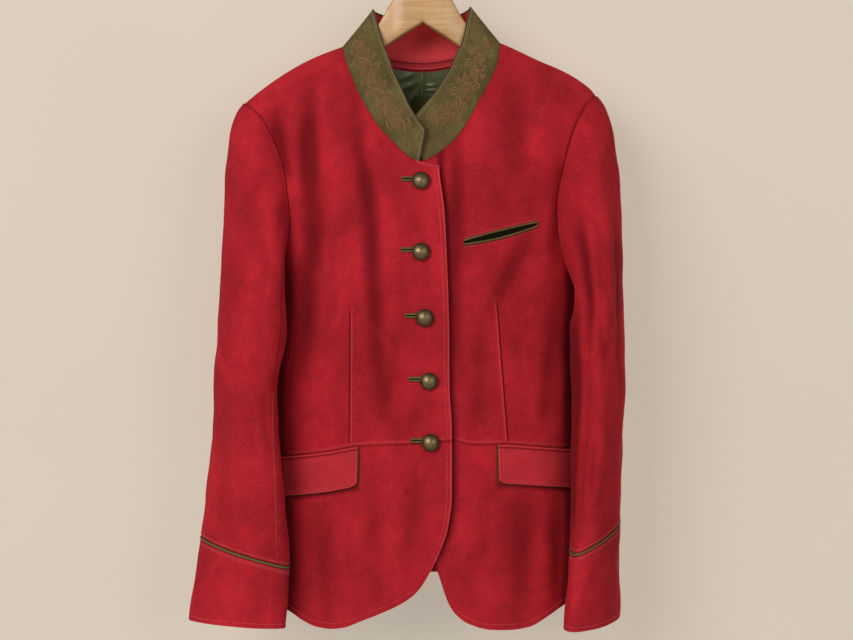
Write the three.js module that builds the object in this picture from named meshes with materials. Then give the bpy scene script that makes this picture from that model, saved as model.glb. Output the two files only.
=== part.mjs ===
// Women's suede jacket in the country style, buttoned, on a wooden hanger.  Millimetres, +Z up.
// X runs across the front from the wearer's right to left, -Y is the front, +Y the back.
// The origin is the inside top of the hanger's hook, where the hanger is held.
import * as THREE from "three";

// ---------------------------------------------------------------- driving dimensions, mm
const SUEDE = 1.6; // wall of the suede
const LINING = 1.0; // wall of the satin lining
const SEAM = 0.3; // gap between two pieces that are sewn together
const LAID = 0.6; // gap under a piece that lies on a curved panel
const ROUND = 70; // height over which front and back roll over the shoulder line
const LAP = 2.7; // rise of the lapping front over the front beneath
const COLLAR_FACING = 1.2; // wall of the collar's inner leather
const BUTTON_DIAMETER = 20;
const BUTTON_RISE = 9; // top of the dome above the front
const BUTTON_SHANK = 2.6; // height of the shank under the dome
const HOOK_WIRE = 4;
const HOOK_INSIDE = 19; // inside radius of the hook's bow
const CUFF_TRIM = 4; // height of the piping strip above a cuff

const degrees = (angle) => (angle * Math.PI) / 180;
const mix = (a, b, t) => a + (b - a) * t;
const ramp = (low, high, value) => {
  const t = Math.min(1, Math.max(0, (value - low) / (high - low)));
  return t * t * (3 - 2 * t);
};

// A short table: the first column is the station, the others are read smoothly between the rows.
function table(names, rows) {
  const columns = names.split(" ");
  const station = rows.map((row) => row[0]);
  const slopes = columns.map((_, c) =>
    rows.map((row, i) => {
      if (i === 0 || i === rows.length - 1) return 0;
      const before = (row[c] - rows[i - 1][c]) / (row[0] - rows[i - 1][0]);
      const after = (rows[i + 1][c] - row[c]) / (rows[i + 1][0] - row[0]);
      return before * after > 0 ? (2 * before * after) / (before + after) : 0;
    }),
  );
  return (name, at) => {
    const c = columns.indexOf(name);
    const last = rows.length - 1;
    if (at <= station[0]) return rows[0][c];
    if (at >= station[last]) return rows[last][c];
    let i = 0;
    while (at > station[i + 1]) i += 1;
    const width = station[i + 1] - station[i];
    const t = (at - station[i]) / width;
    return (
      rows[i][c] * (1 + 2 * t) * (1 - t) ** 2 +
      rows[i + 1][c] * t * t * (3 - 2 * t) +
      slopes[c][i] * width * t * (1 - t) ** 2 -
      slopes[c][i + 1] * width * t * t * (1 - t)
    );
  };
}

// ---------------------------------------------------------------- the form of the body
// Sections by height: middle, half width, depth of the front and of the back.
const BODY = table("z middle half front back", [
  [-860, 1, 193, 79, 76],
  [-834, 1, 191, 78, 74],
  [-740, 1, 186, 74, 66],
  [-625, 0, 179, 69, 54],
  [-560, 0, 178, 70, 56],
  [-490, 0, 180, 74, 64],
  [-430, -1, 183, 76, 72],
  [-350, -2, 196, 71, 74],
  [-300, -2, 210, 64, 71],
  [-250, -3, 226, 53, 62],
  [-225, -3, 232, 46, 55],
  [-150, -3, 232, 32, 40],
]);
const TOP_MIDDLE = -3;
const TOP_HALF = 232;

// Height of the shoulder line across the jacket.
const RIDGE = table("x z", [
  [-240, -246],
  [-212, -223],
  [-195, -209],
  [-162, -186],
  [-132, -169.5],
  [-95, -155],
  [-50, -140],
  [0, -131],
  [50, -137],
  [91, -150.5],
  [138, -172],
  [164, -183],
  [182, -193],
  [198, -205],
  [206, -214.5],
  [235, -240],
]);

// Large soft folds of the fronts, each from one end to the other; a trough is negative.
const FOLDS = [
  { x: [-126, -140], z: [-185, -480], width: 13, depth: -3.2 },
  { x: [-66, -44], z: [-290, -610], width: 12, depth: -2.4 },
  { x: [-97, -90], z: [-300, -520], width: 16, depth: 2.0 },
  { x: [39, 37], z: [-270, -420], width: 10, depth: -2.2 },
  { x: [122, 76], z: [-395, -472], width: 11, depth: -2.8 },
  { x: [-172, -158], z: [-250, -300], width: 10, depth: -3.0 },
  { x: [108, 124], z: [-190, -250], width: 11, depth: -2.2 },
  { x: [150, 140], z: [-300, -560], width: 14, depth: 2.2 },
  { x: [120, 112], z: [-680, -820], width: 16, depth: -2.6 },
  { x: [-118, -112], z: [-690, -815], width: 15, depth: -2.4 },
];
const BACK_FOLDS = [
  { x: [-70, -62], z: [-300, -600], width: 16, depth: -3.4 },
  { x: [78, 60], z: [-330, -640], width: 15, depth: -3.2 },
  { x: [-128, -118], z: [-250, -420], width: 13, depth: -2.8 },
  { x: [122, 132], z: [-260, -430], width: 13, depth: -2.6 },
  { x: [20, 34], z: [-640, -790], width: 18, depth: 2.6 },
];

function foldAt(folds, x, z) {
  return folds.reduce((sum, fold) => {
    const dx = fold.x[1] - fold.x[0];
    const dz = fold.z[1] - fold.z[0];
    const along = ((x - fold.x[0]) * dx + (z - fold.z[0]) * dz) / (dx * dx + dz * dz);
    const t = Math.min(1, Math.max(0, along));
    const off = Math.hypot(x - fold.x[0] - dx * t, z - fold.z[0] - dz * t);
    return sum + fold.depth * Math.exp(-((off / fold.width) ** 2)) * Math.sin(Math.PI * mix(0.12, 0.88, t));
  }, 0);
}

// Point of the cloth's form: face -1 front or 1 back, turn round the body, drop under the shoulder.
function formPoint(face, turn, drop) {
  const ridge = RIDGE("z", TOP_MIDDLE + TOP_HALF * Math.sin(turn));
  const roll = Math.min(drop / ROUND, Math.PI / 2);
  const z = ridge - ROUND * (1 - Math.cos(roll)) - Math.max(0, drop - (ROUND * Math.PI) / 2);
  const depth = BODY(face < 0 ? "front" : "back", z) * Math.cos(turn) * Math.sin(roll);
  return new THREE.Vector3(
    BODY("middle", z) + BODY("half", z) * Math.sin(turn),
    face * (depth + SEAM / 2),
    z,
  );
}

function dropOf(turn, z) {
  const under = RIDGE("z", TOP_MIDDLE + TOP_HALF * Math.sin(turn)) - z;
  if (under < 0) return 0;
  return under < ROUND ? ROUND * Math.acos(1 - under / ROUND) : (ROUND * Math.PI) / 2 + under - ROUND;
}

// Place on the form of a point that is given by its x and height.
function placeOf(x, z) {
  const turn = Math.asin(Math.min(1, Math.max(-1, (x - BODY("middle", z)) / BODY("half", z))));
  return [turn, dropOf(turn, z)];
}

// Cloth point with its outward normal; lap lifts the lapping front off the one beneath.
function clothPoint(face, [turn, drop], lapping = false) {
  const step = 0.004;
  const across = formPoint(face, turn + step, drop).sub(formPoint(face, turn - step, drop));
  const down = formPoint(face, turn, drop + 0.4).sub(formPoint(face, turn, drop - 0.4));
  const n = across.cross(down).normalize().multiplyScalar(face);
  const p = formPoint(face, turn, drop);
  const side = Math.abs(turn) > 1.5 ? 0 : 1;
  const ease = side * ramp(0, 60, drop) * ramp(0, 0.35, Math.PI / 2 - Math.abs(turn));
  p.addScaledVector(n, ease * foldAt(face < 0 ? FOLDS : BACK_FOLDS, p.x, p.z));
  if (lapping) p.addScaledVector(n, LAP * ramp(-62, -26, p.x));
  return { p, n };
}

// ---------------------------------------------------------------- solids from grids and rings
// Closed wall between two offsets of a grid of cloth points.
function wallGeometry(grid, low, high, closed = false) {
  const rows = grid.length;
  const columns = grid[0].length;
  const offset = (value, i, j) => (typeof value === "function" ? value(i, j) : value);
  const vertices = [];
  for (const value of [high, low])
    grid.forEach((row, i) =>
      row.forEach(({ p, n }, j) => {
        const point = p.clone().addScaledVector(n, offset(value, i, j));
        vertices.push(point.x, point.y, point.z);
      }),
    );
  const index = [];
  const quad = (a, b, c, d) => index.push(a, b, c, a, c, d);
  const outer = (i, j) => i * columns + (j % columns);
  const inner = (i, j) => rows * columns + outer(i, j);
  const spans = closed ? columns : columns - 1;
  for (let i = 0; i < rows - 1; i += 1)
    for (let j = 0; j < spans; j += 1) {
      quad(outer(i, j), outer(i + 1, j), outer(i + 1, j + 1), outer(i, j + 1));
      quad(inner(i, j), inner(i, j + 1), inner(i + 1, j + 1), inner(i + 1, j));
    }
  for (let j = 0; j < spans; j += 1) {
    quad(outer(0, j), outer(0, j + 1), inner(0, j + 1), inner(0, j));
    quad(outer(rows - 1, j), inner(rows - 1, j), inner(rows - 1, j + 1), outer(rows - 1, j + 1));
  }
  if (!closed)
    for (let i = 0; i < rows - 1; i += 1) {
      quad(outer(i, 0), inner(i, 0), inner(i + 1, 0), outer(i + 1, 0));
      quad(outer(i, spans), outer(i + 1, spans), inner(i + 1, spans), inner(i, spans));
    }
  const i = Math.floor(rows / 2) - (rows > 2 ? 0 : 1);
  const j = Math.floor(columns / 2) - 1;
  const down = grid[i + 1 < rows ? i + 1 : i][j].p.clone().sub(grid[i + 1 < rows ? i : i - 1][j].p);
  const along = grid[i][j + 1].p.clone().sub(grid[i][j].p);
  return solidGeometry(vertices, index, down.cross(along).dot(grid[i][j].n) < 0);
}

// Closed solid through rings of equal count, with a point in the middle of each end.
function loftGeometry(rings, flip = false) {
  const count = rings[0].length;
  const vertices = rings.flat().flatMap((p) => p.toArray());
  const index = [];
  for (let i = 0; i < rings.length - 1; i += 1)
    for (let j = 0; j < count; j += 1) {
      const k = (j + 1) % count;
      index.push(i * count + j, (i + 1) * count + j, (i + 1) * count + k);
      index.push(i * count + j, (i + 1) * count + k, i * count + k);
    }
  const middle = (ring) => ring.reduce((sum, p) => sum.add(p), new THREE.Vector3()).divideScalar(count);
  const first = vertices.length / 3;
  vertices.push(...middle(rings[0]).toArray(), ...middle(rings.at(-1)).toArray());
  const base = (rings.length - 1) * count;
  for (let j = 0; j < count; j += 1) {
    const k = (j + 1) % count;
    index.push(first, j, k);
    index.push(first + 1, base + k, base + j);
  }
  return solidGeometry(vertices, index, flip);
}

function solidGeometry(vertices, index, flip) {
  if (flip) for (let i = 0; i < index.length; i += 3) [index[i], index[i + 1]] = [index[i + 1], index[i]];
  const geometry = new THREE.BufferGeometry();
  geometry.setAttribute("position", new THREE.Float32BufferAttribute(vertices, 3));
  geometry.setIndex(index);
  geometry.computeVertexNormals();
  return geometry;
}

const jacket = new THREE.Group();
jacket.name = "jacket_on_hanger";
const material = (name, color, roughness, metalness) =>
  Object.assign(new THREE.MeshStandardMaterial({ color, roughness, metalness }), { name });
const RED_SUEDE = material("red_suede", 0xb01f2b, 0.92, 0);
const OLIVE_SUEDE = material("olive_suede", 0x5a5631, 0.9, 0);
const SATIN = material("olive_satin", 0x3f4c2c, 0.45, 0);
const BRASS = material("aged_brass", 0x77613c, 0.45, 0.85);
const BEECH = material("beech", 0xcfa674, 0.5, 0);
const STEEL = material("steel_wire", 0xb9bcc0, 0.3, 0.9);

function add(name, geometry, surface) {
  const mesh = new THREE.Mesh(geometry, surface);
  mesh.name = name;
  jacket.add(mesh);
}

// Grid of places between four edges; each edge gives its place for 0..1, heights are the rows' shares.
function between(top, bottom, inner, outer, columns, heights) {
  const grid = [];
  for (const v of heights) {
    const row = [];
    for (let j = 0; j <= columns; j += 1) {
      const u = j / columns;
      const place = [0, 1].map((c) => {
        const fall = c === 0 ? v ** 0.6 : v;
        return (
          mix(top(u)[c], bottom(u)[c], fall) +
          (1 - u) ** 1.5 * (inner(v)[c] - mix(top(0)[c], bottom(0)[c], fall)) +
          u ** 1.5 * (outer(v)[c] - mix(top(1)[c], bottom(1)[c], fall))
        );
      });
      row.push(place);
    }
    grid.push(row);
  }
  return grid;
}
const clothGrid = (face, places, lapping) => places.map((row) => row.map((at) => clothPoint(face, at, lapping)));
const joined = (first, share, second) => (t) => (t < share ? first(t / share) : second((t - share) / (1 - share)));

// ---------------------------------------------------------------- seam lines of the body
// Neck seam, from the corner of the lapping front round the back to the corner of the other front.
const NECK = table("t x z", [
  [0, 18.4, -303.5],
  [1, -5, -297.5],
  [2, -16, -292],
  [3, -32.8, -275.5],
  [4, -58.2, -243.5],
  [5, -76.1, -209],
  [6, -89.5, -176],
  [7, -95, -155],
  [8, -50, -163],
  [9, -1, -168],
  [10, 50, -161],
  [11, 91, -150.5],
  [12, 87.5, -172],
  [13, 79.3, -196],
  [14, 64.1, -224.5],
  [15, 49.1, -254],
  [16, 25.1, -282],
  [17, 0, -296.5],
  [18, -22, -300],
]);
const neckPlace = (t) => placeOf(NECK("x", t), NECK("z", t));

// Armhole seams from the shoulder tip to the underarm, by turn in degrees and height.
const UNDERARM = -440;
const ARMHOLES = {
  right: table("t front frontZ back backZ", [
    [0, 64.4, -223, 64.4, -223],
    [1, 58.1, -234, 61, -240],
    [2, 52.8, -257, 57.5, -270],
    [3, 50.9, -316, 55, -318],
    [4, 51.6, -359, 55.5, -362],
    [5, 56.6, -395, 61, -400],
    [6, 67.1, -424, 72, -427],
    [7, 90, UNDERARM, 90, UNDERARM],
  ]),
  left: table("t front frontZ back backZ", [
    [0, 64.3, -214.5, 64.3, -214.5],
    [1, 57.3, -228, 60.5, -232],
    [2, 54.6, -244, 57.5, -262],
    [3, 52.5, -282, 55, -315],
    [4, 53.6, -332, 55.5, -362],
    [5, 58.5, -380, 61, -400],
    [6, 69, -422, 72, -427],
    [7, 90, UNDERARM, 90, UNDERARM],
  ]),
};
function armholePlace(side, face, t) {
  const column = face < 0 ? "front" : "back";
  const turn = degrees(ARMHOLES[side](column, t)) * (side === "right" ? -1 : 1);
  return [turn, dropOf(turn, ARMHOLES[side](column + "Z", t))];
}

// Waist seam of the fronts and the hem all round.
const WAIST = table("x z", [
  [-180, -639],
  [-160, -637],
  [-110, -630],
  [-72, -623],
  [0, -619],
  [33, -616.5],
  [60, -621],
  [85, -621],
  [145, -626],
  [180, -630],
]);
// Edge of the lapping front and of the front beneath, and the hem that continues each.
const FRONT_EDGES = {
  right: table("z x", [
    [-786, -5],
    [-764, 9],
    [-739, 20.5],
    [-717, 28],
    [-679, 32.7],
    [-610, 32.8],
    [-555, 30.1],
    [-488, 29.4],
    [-407, 26.7],
    [-356, 24.1],
    [-303.5, 18.4],
  ]),
  left: table("z x", [
    [-796, 27],
    [-764, 16],
    [-739, 4],
    [-717, -8],
    [-679, -16],
    [-610, -18],
    [-488, -20],
    [-356, -22],
    [-300, -22],
  ]),
};
const HEMS = {
  right: table("x z", [
    [-191, -797],
    [-178, -804],
    [-165, -811],
    [-150, -818],
    [-138, -825],
    [-122, -831],
    [-106, -832.5],
    [-91, -830.5],
    [-72, -823],
    [-45, -811.5],
    [-19, -798],
    [-5, -786],
  ]),
  left: table("x z", [
    [27, -796],
    [37, -814],
    [50, -824],
    [78, -832.5],
    [102, -833.5],
    [122, -831],
    [142, -821.5],
    [160, -811.5],
    [178, -803],
    [192, -796],
  ]),
};
const BACK_HEM = table("turn z", [
  [-90, -797],
  [-40, -791],
  [0, -789],
  [40, -791],
  [90, -796],
]);

// ---------------------------------------------------------------- fronts, skirts and back
const SIDES = {
  right: { sign: -1, neck: [0, 7], lapping: true, foot: -786, hemStart: -5, side: -797, corner: -303.5 },
  left: { sign: 1, neck: [18, 11], lapping: false, foot: -796, hemStart: 27, side: -796, corner: -300 },
};
const NECK_SHARE = 0.7;
const FRONT_COLUMNS = 20;
const ARMHOLE_SHARE = 0.6;
const FRONT_ROWS = [0, 0.035, 0.08, 0.14, 0.21, 0.28, 0.35, 0.42, 0.48, 0.54, 0.6, 0.68, 0.76, 0.84, 0.92, 1];
const SKIRT_ROWS = [0, 0.14, 0.28, 0.42, 0.56, 0.7, 0.85, 1];
const BACK_ARMHOLE_SHARE = 0.43;
const BACK_ROWS = [
  0, 0.011, 0.035, 0.07, 0.115, 0.165, 0.22, 0.275, 0.33, 0.38, 0.43, 0.5, 0.57, 0.64, 0.71, 0.78, 0.85, 0.925, 1,
];

Object.entries(SIDES).forEach(([side, { sign, neck, lapping, foot, hemStart, side: sideZ, corner }]) => {
  const edge = (z) => placeOf(FRONT_EDGES[side]("x", z), z);
  const seam = degrees(90) * sign;
  const waistEdgeX = FRONT_EDGES[side]("x", -617);
  const waistZ = (x) => WAIST("z", x);
  const waistSide = waistZ(sign * 180);
  const waist = (gap) => (u) => {
    const from = placeOf(waistEdgeX, waistZ(waistEdgeX))[0];
    const turn = mix(from, seam, u);
    const z = waistZ(BODY("half", -625) * Math.sin(turn));
    return [turn, dropOf(turn, z + gap)];
  };
  const neckEdge = (t) => neckPlace(mix(neck[0], neck[1], t));
  const tip = armholePlace(side, -1, 0)[0];
  const shoulder = (t) => [mix(neckPlace(neck[1])[0], tip, t), 0];
  const armhole = (t) => armholePlace(side, -1, 7 * t);
  const upperSide = (t) => [seam, dropOf(seam, mix(UNDERARM, waistSide + SEAM / 2, t))];
  const upperEdge = (v) => edge(mix(corner, waistZ(waistEdgeX) + SEAM / 2, v));
  const upper = between(
    joined(neckEdge, NECK_SHARE, shoulder),
    waist(SEAM / 2),
    upperEdge,
    joined(armhole, ARMHOLE_SHARE, upperSide),
    FRONT_COLUMNS,
    FRONT_ROWS,
  );
  add(`front_${side}`, wallGeometry(clothGrid(-1, upper, lapping), -SUEDE, 0), RED_SUEDE);

  const hem = (u) => {
    const from = placeOf(hemStart, foot)[0];
    const turn = mix(from, seam, u);
    const x = BODY("middle", -815) + BODY("half", -815) * Math.sin(turn);
    return [turn, dropOf(turn, u > 0.999 ? sideZ : HEMS[side]("z", x))];
  };
  const lowerSide = (v) => [seam, dropOf(seam, mix(waistSide - SEAM / 2, sideZ, v))];
  const lowerEdge = (v) => edge(mix(waistZ(waistEdgeX) - SEAM / 2, foot, v));
  const lower = between(waist(-SEAM / 2), hem, lowerEdge, lowerSide, FRONT_COLUMNS, SKIRT_ROWS);
  add(`skirt_${side}`, wallGeometry(clothGrid(-1, lower, lapping), -SUEDE, 0), RED_SUEDE);
});

const backShoulder = (side, t) => {
  const end = armholePlace(side, 1, 0)[0];
  const start = neckPlace(side === "right" ? 7 : 11)[0];
  return [mix(start, end, t), 0];
};
const backTop = (u) => {
  if (u < 0.3) return backShoulder("right", 1 - u / 0.3);
  if (u > 0.7) return backShoulder("left", (u - 0.7) / 0.3);
  return neckPlace(mix(7, 11, (u - 0.3) / 0.4));
};
const backSide = (side) => (v) => {
  const turn = degrees(side === "right" ? -90 : 90);
  const z = (t) => mix(UNDERARM, BACK_HEM("z", side === "right" ? -90 : 90), t);
  return joined(
    (t) => armholePlace(side, 1, 7 * t),
    BACK_ARMHOLE_SHARE,
    (t) => [turn, dropOf(turn, z(t))],
  )(v);
};
const backHem = (u) => {
  const turn = mix(-90, 90, u);
  return [degrees(turn), dropOf(degrees(turn), BACK_HEM("z", turn))];
};
const backPlaces = between(backTop, backHem, backSide("right"), backSide("left"), 20, BACK_ROWS);
const backGrid = clothGrid(1, backPlaces);
add("back", wallGeometry(backGrid, -SUEDE, 0), RED_SUEDE);

// Satin back lining, hung 0.3 mm inside the back, with the suede neck facing above it.
const liningGrid = backGrid.slice(1, 18).map((row) => row.slice(1, 20));
const facingGrid = backGrid.slice(0, 2).map((row) => row.slice(7, 14));
const facingFoot = facingGrid[0].map(({ p, n }, j) => ({
  p: p.clone().lerp(facingGrid[1][j].p, 0.9),
  n: n.clone().lerp(facingGrid[1][j].n, 0.9).normalize(),
}));
const inside = -SUEDE - SEAM;
add("back_lining", wallGeometry(liningGrid, inside - 0.2 - LINING, inside - 0.2), SATIN);
add("neck_facing", wallGeometry([facingGrid[0], facingFoot], inside - 1.2, inside), RED_SUEDE);

// ---------------------------------------------------------------- collar
// Upper edge of the stand collar at the stations of the neck seam.
const COLLAR = table("t x y z", [
  [1, 1.4, -64, -262],
  [2, -6, -60, -251],
  [3, -15, -50, -235],
  [4, -29, -40, -205],
  [5, -39, -29, -180.5],
  [6, -50, -14.5, -147],
  [7, -61, 4, -111],
  [8, -46, 33, -114],
  [9, -1, 44, -119],
  [10, 46, 33, -112],
  [11, 58, 4, -108],
  [12, 47, -14, -152.5],
  [13, 39, -24.5, -171.5],
  [14, 29, -34, -194],
  [15, 16, -43, -215],
  [16, 1, -50, -234],
  [17, -12.5, -54, -251],
]);
const COLLAR_COLUMNS = 32;
const COLLAR_ROWS = 4;
const collarPoints = [];
for (let i = 0; i <= COLLAR_ROWS; i += 1) {
  const row = [];
  for (let j = 0; j <= COLLAR_COLUMNS; j += 1) {
    const t = mix(1, 17, j / COLLAR_COLUMNS);
    const face = t > 7 && t < 11 ? 1 : -1;
    const { p: seat, n: rise } = clothPoint(face, neckPlace(t), t < 6);
    seat.addScaledVector(rise, 0.3);
    seat.y += 3.2 * ramp(14.5, 16.5, t);
    const edge = new THREE.Vector3(COLLAR("x", t), COLLAR("y", t), COLLAR("z", t));
    const v = mix(0.032, 1, i / COLLAR_ROWS);
    const point = seat.lerp(edge, v);
    const away = new THREE.Vector3(point.x, point.y + 4, 0).normalize();
    row.push(point.addScaledVector(away, 3.5 * Math.sin(Math.PI * v) * ramp(1, 3, t) * ramp(17, 15, t)));
  }
  collarPoints.push(row);
}
// Normals of a free grid, outward where it faces away from the middle line.
function withNormals(points, outward) {
  return points.map((row, i) =>
    row.map((p, j) => {
      const across = row[Math.min(j + 1, row.length - 1)].clone().sub(row[Math.max(j - 1, 0)]);
      const down = points[Math.min(i + 1, points.length - 1)][j].clone().sub(points[Math.max(i - 1, 0)][j]);
      const n = across.cross(down).normalize();
      if (n.dot(outward(p)) < 0) n.negate();
      return { p, n };
    }),
  );
}
const collarGrid = withNormals(collarPoints, (p) => new THREE.Vector3(p.x, p.y - 6, 0));
add("collar", wallGeometry(collarGrid, -SUEDE, 0), OLIVE_SUEDE);
add("collar_facing", wallGeometry(collarGrid, -SUEDE - SEAM - COLLAR_FACING, -SUEDE - SEAM), RED_SUEDE);

// ---------------------------------------------------------------- sleeves, piping and cuffs
// Sections of each hanging sleeve: middle, long and short half axes, and the turn of the long axis
// from straight ahead towards the body.
const SLEEVES = {
  right: {
    sign: -1,
    sections: table("z x y long short turn", [
      [-832, -212.5, -64, 57, 20, 80],
      [-758, -206, -60, 57, 21, 72],
      [-730, -205, -58, 57, 24, 65],
      [-631, -205, -46, 57, 27, 42],
      [-563, -204.5, -38, 58, 29, 30],
      [-490, -197, -34, 60, 34, 25],
    ]),
  },
  left: {
    sign: 1,
    sections: table("z x y long short turn", [
      [-832, 195.5, -50, 57, 21.5, 32],
      [-770, 198, -46, 57, 20, 26],
      [-706, 202, -40, 57, 20.5, 18],
      [-622, 206, -34, 58, 21, 14],
      [-560, 209, -30, 60, 23.5, 11],
      [-490, 207, -28, 62, 27, 10],
    ]),
  },
};
// Troughs along a sleeve: where they run round it, in degrees, from height to height.
const SLEEVE_FOLDS = {
  right: [
    { psi: [35, 60], z: [-250, -470], wide: 16, depth: 4 },
    { psi: [-40, -20], z: [-300, -560], wide: 20, depth: 4 },
    { psi: [150, 170], z: [-520, -690], wide: 22, depth: 4 },
  ],
  left: [
    { psi: [28, 12], z: [-290, -620], wide: 17, depth: 6 },
    { psi: [80, 62], z: [-300, -470], wide: 16, depth: 4 },
    { psi: [-120, -100], z: [-330, -560], wide: 22, depth: 5 },
  ],
};
const SLEEVE_TOP = -490; // height at which a sleeve hangs free of the armhole's pull
const CUFF_FOOT = -826;

// Keeps a sleeve point just clear of the body's side.
function clearOfBody(p, gap) {
  if (p.z > -365) return p;
  const face = p.y < 0 ? "front" : "back";
  const middle = BODY("middle", p.z);
  const x = (p.x - middle) / (BODY("half", p.z) + gap);
  const y = p.y / (BODY(face, p.z) + gap);
  const size = Math.hypot(x, y);
  if (size >= 1) return p;
  const share = ramp(-365, -395, p.z);
  p.x = mix(p.x, middle + (p.x - middle) / size, share);
  p.y = mix(p.y, p.y / size, share);
  return p;
}

function sleeveRing(side, psi, z) {
  const { sign, sections } = SLEEVES[side];
  const turn = degrees(sections("turn", z));
  const ahead = sections("long", z) * Math.sin(psi);
  const out = sections("short", z) * Math.cos(psi);
  const x = sections("x", z) - sign * Math.sin(turn) * ahead + sign * Math.cos(turn) * out;
  const y = sections("y", z) - Math.cos(turn) * ahead - Math.sin(turn) * out;
  return new THREE.Vector3(x, y, z);
}

// psi 0 points out, 90 ahead, 180 to the body, 270 back; down 0..1 armhole to elbow, 1..2 to a height.
function sleevePoint(side, psi, down, foot) {
  const { sign } = SLEEVES[side];
  const round = ((psi / Math.PI) * 180 + 360) % 360;
  const face = round < 180 ? -1 : 1;
  const t = (round < 180 ? round : 360 - round) / 180;
  const seat = clothPoint(face, armholePlace(side, face, 7 * t));
  const outward = new THREE.Vector3(
    sign * mix(0.85, 0.35, Math.sin(psi) ** 2),
    -Math.sin(psi) * 0.9,
    mix(-0.45, -0.25, Math.abs(Math.sin(psi))) - 0.6 * ramp(0.6, 1, t),
  ).normalize();
  const start = seat.p.clone().addScaledVector(outward, 0.7);
  if (down > 1) {
    const p = sleeveRing(side, psi, mix(SLEEVE_TOP, foot, down - 1));
    return clearOfBody(p, 1.2);
  }
  const end = sleeveRing(side, psi, SLEEVE_TOP);
  const reach = start.distanceTo(end);
  const pull = outward.multiplyScalar(mix(110, 70, t));
  const fall = new THREE.Vector3(0, 0, -Math.min(300, 1.1 * reach));
  const [a, b] = [down * down, down * down * down];
  const p = start.multiplyScalar(2 * b - 3 * a + 1).addScaledVector(pull, b - 2 * a + down);
  p.addScaledVector(end, 3 * a - 2 * b).addScaledVector(fall, b - a);
  return clearOfBody(p, 1.2);
}

function sleeveFold(side, psi, z) {
  return SLEEVE_FOLDS[side].reduce((sum, fold) => {
    const t = (z - fold.z[0]) / (fold.z[1] - fold.z[0]);
    if (t <= 0 || t >= 1) return sum;
    const turn = (psi * 180) / Math.PI - mix(fold.psi[0], fold.psi[1], t);
    const off = (((turn % 360) + 540) % 360) - 180;
    return sum - fold.depth * Math.exp(-((off / fold.wide) ** 2)) * Math.sin(Math.PI * t) ** 2;
  }, 0);
}

function sleeveCloth(side, psi, down, foot) {
  const p = sleevePoint(side, psi, down, foot);
  const across = sleevePoint(side, psi + 0.02, down, foot).sub(sleevePoint(side, psi - 0.02, down, foot));
  const low = Math.max(0, down - 0.01);
  const along = sleevePoint(side, psi, Math.min(2, down + 0.01), foot).sub(sleevePoint(side, psi, low, foot));
  const n = across.cross(along).normalize();
  if (side === "right") n.negate();
  p.addScaledVector(n, sleeveFold(side, psi, p.z));
  return { p, n };
}

// Height of the slanted seam above the cuff.
const CUFF_SEAM = { right: { z: -747, rise: 15, high: -85 }, left: { z: -729, rise: 17, high: -55 } };
const cuffSeam = (side, psi) =>
  CUFF_SEAM[side].z + CUFF_SEAM[side].rise * Math.cos(psi - degrees(CUFF_SEAM[side].high));
const FRONT_SEAM = 112;
const BACK_SEAM = 278;

function sleeveGrid(side, from, to, columns, upperRows, lowerRows) {
  const grid = [];
  for (let i = 0; i <= upperRows + lowerRows; i += 1) {
    const down = i <= upperRows ? i / upperRows : 1 + (i - upperRows) / lowerRows;
    const row = [];
    for (let j = 0; j <= columns; j += 1) {
      const psi = degrees(mix(from, to, j / columns));
      row.push(sleeveCloth(side, psi, down, cuffSeam(side, psi) + CUFF_TRIM + SEAM));
    }
    grid.push(row);
  }
  return grid;
}

function cuffGrid(side, columns, heights) {
  return heights.map((height) => {
    const row = [];
    for (let j = 0; j < columns; j += 1) {
      const psi = (2 * Math.PI * j) / columns;
      const foot = CUFF_FOOT - 3 * Math.sin(psi);
      const top = cuffSeam(side, psi);
      const z = height > 0 ? top + height : mix(top, foot, -height);
      row.push(sleeveCloth(side, psi, 1 + (z - SLEEVE_TOP) / (foot - SLEEVE_TOP), foot));
    }
    return row;
  });
}

Object.keys(SLEEVES).forEach((side) => {
  const gap = 0.18;
  const upper = sleeveGrid(side, BACK_SEAM - 360 + gap, FRONT_SEAM - gap, 13, 9, 8);
  const under = sleeveGrid(side, FRONT_SEAM + gap, BACK_SEAM - gap, 10, 9, 8);
  add(`sleeve_${side}_upper`, wallGeometry(upper, -SUEDE, 0), RED_SUEDE);
  add(`sleeve_${side}_under`, wallGeometry(under, -SUEDE, 0), RED_SUEDE);
  add(`cuff_trim_${side}`, wallGeometry(cuffGrid(side, 24, [CUFF_TRIM, SEAM]), -SUEDE, 0.6, true), OLIVE_SUEDE);
  add(`cuff_${side}`, wallGeometry(cuffGrid(side, 24, [-0.001, -0.33, -0.67, -1]), -SUEDE, 0.4, true), RED_SUEDE);
});

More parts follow.
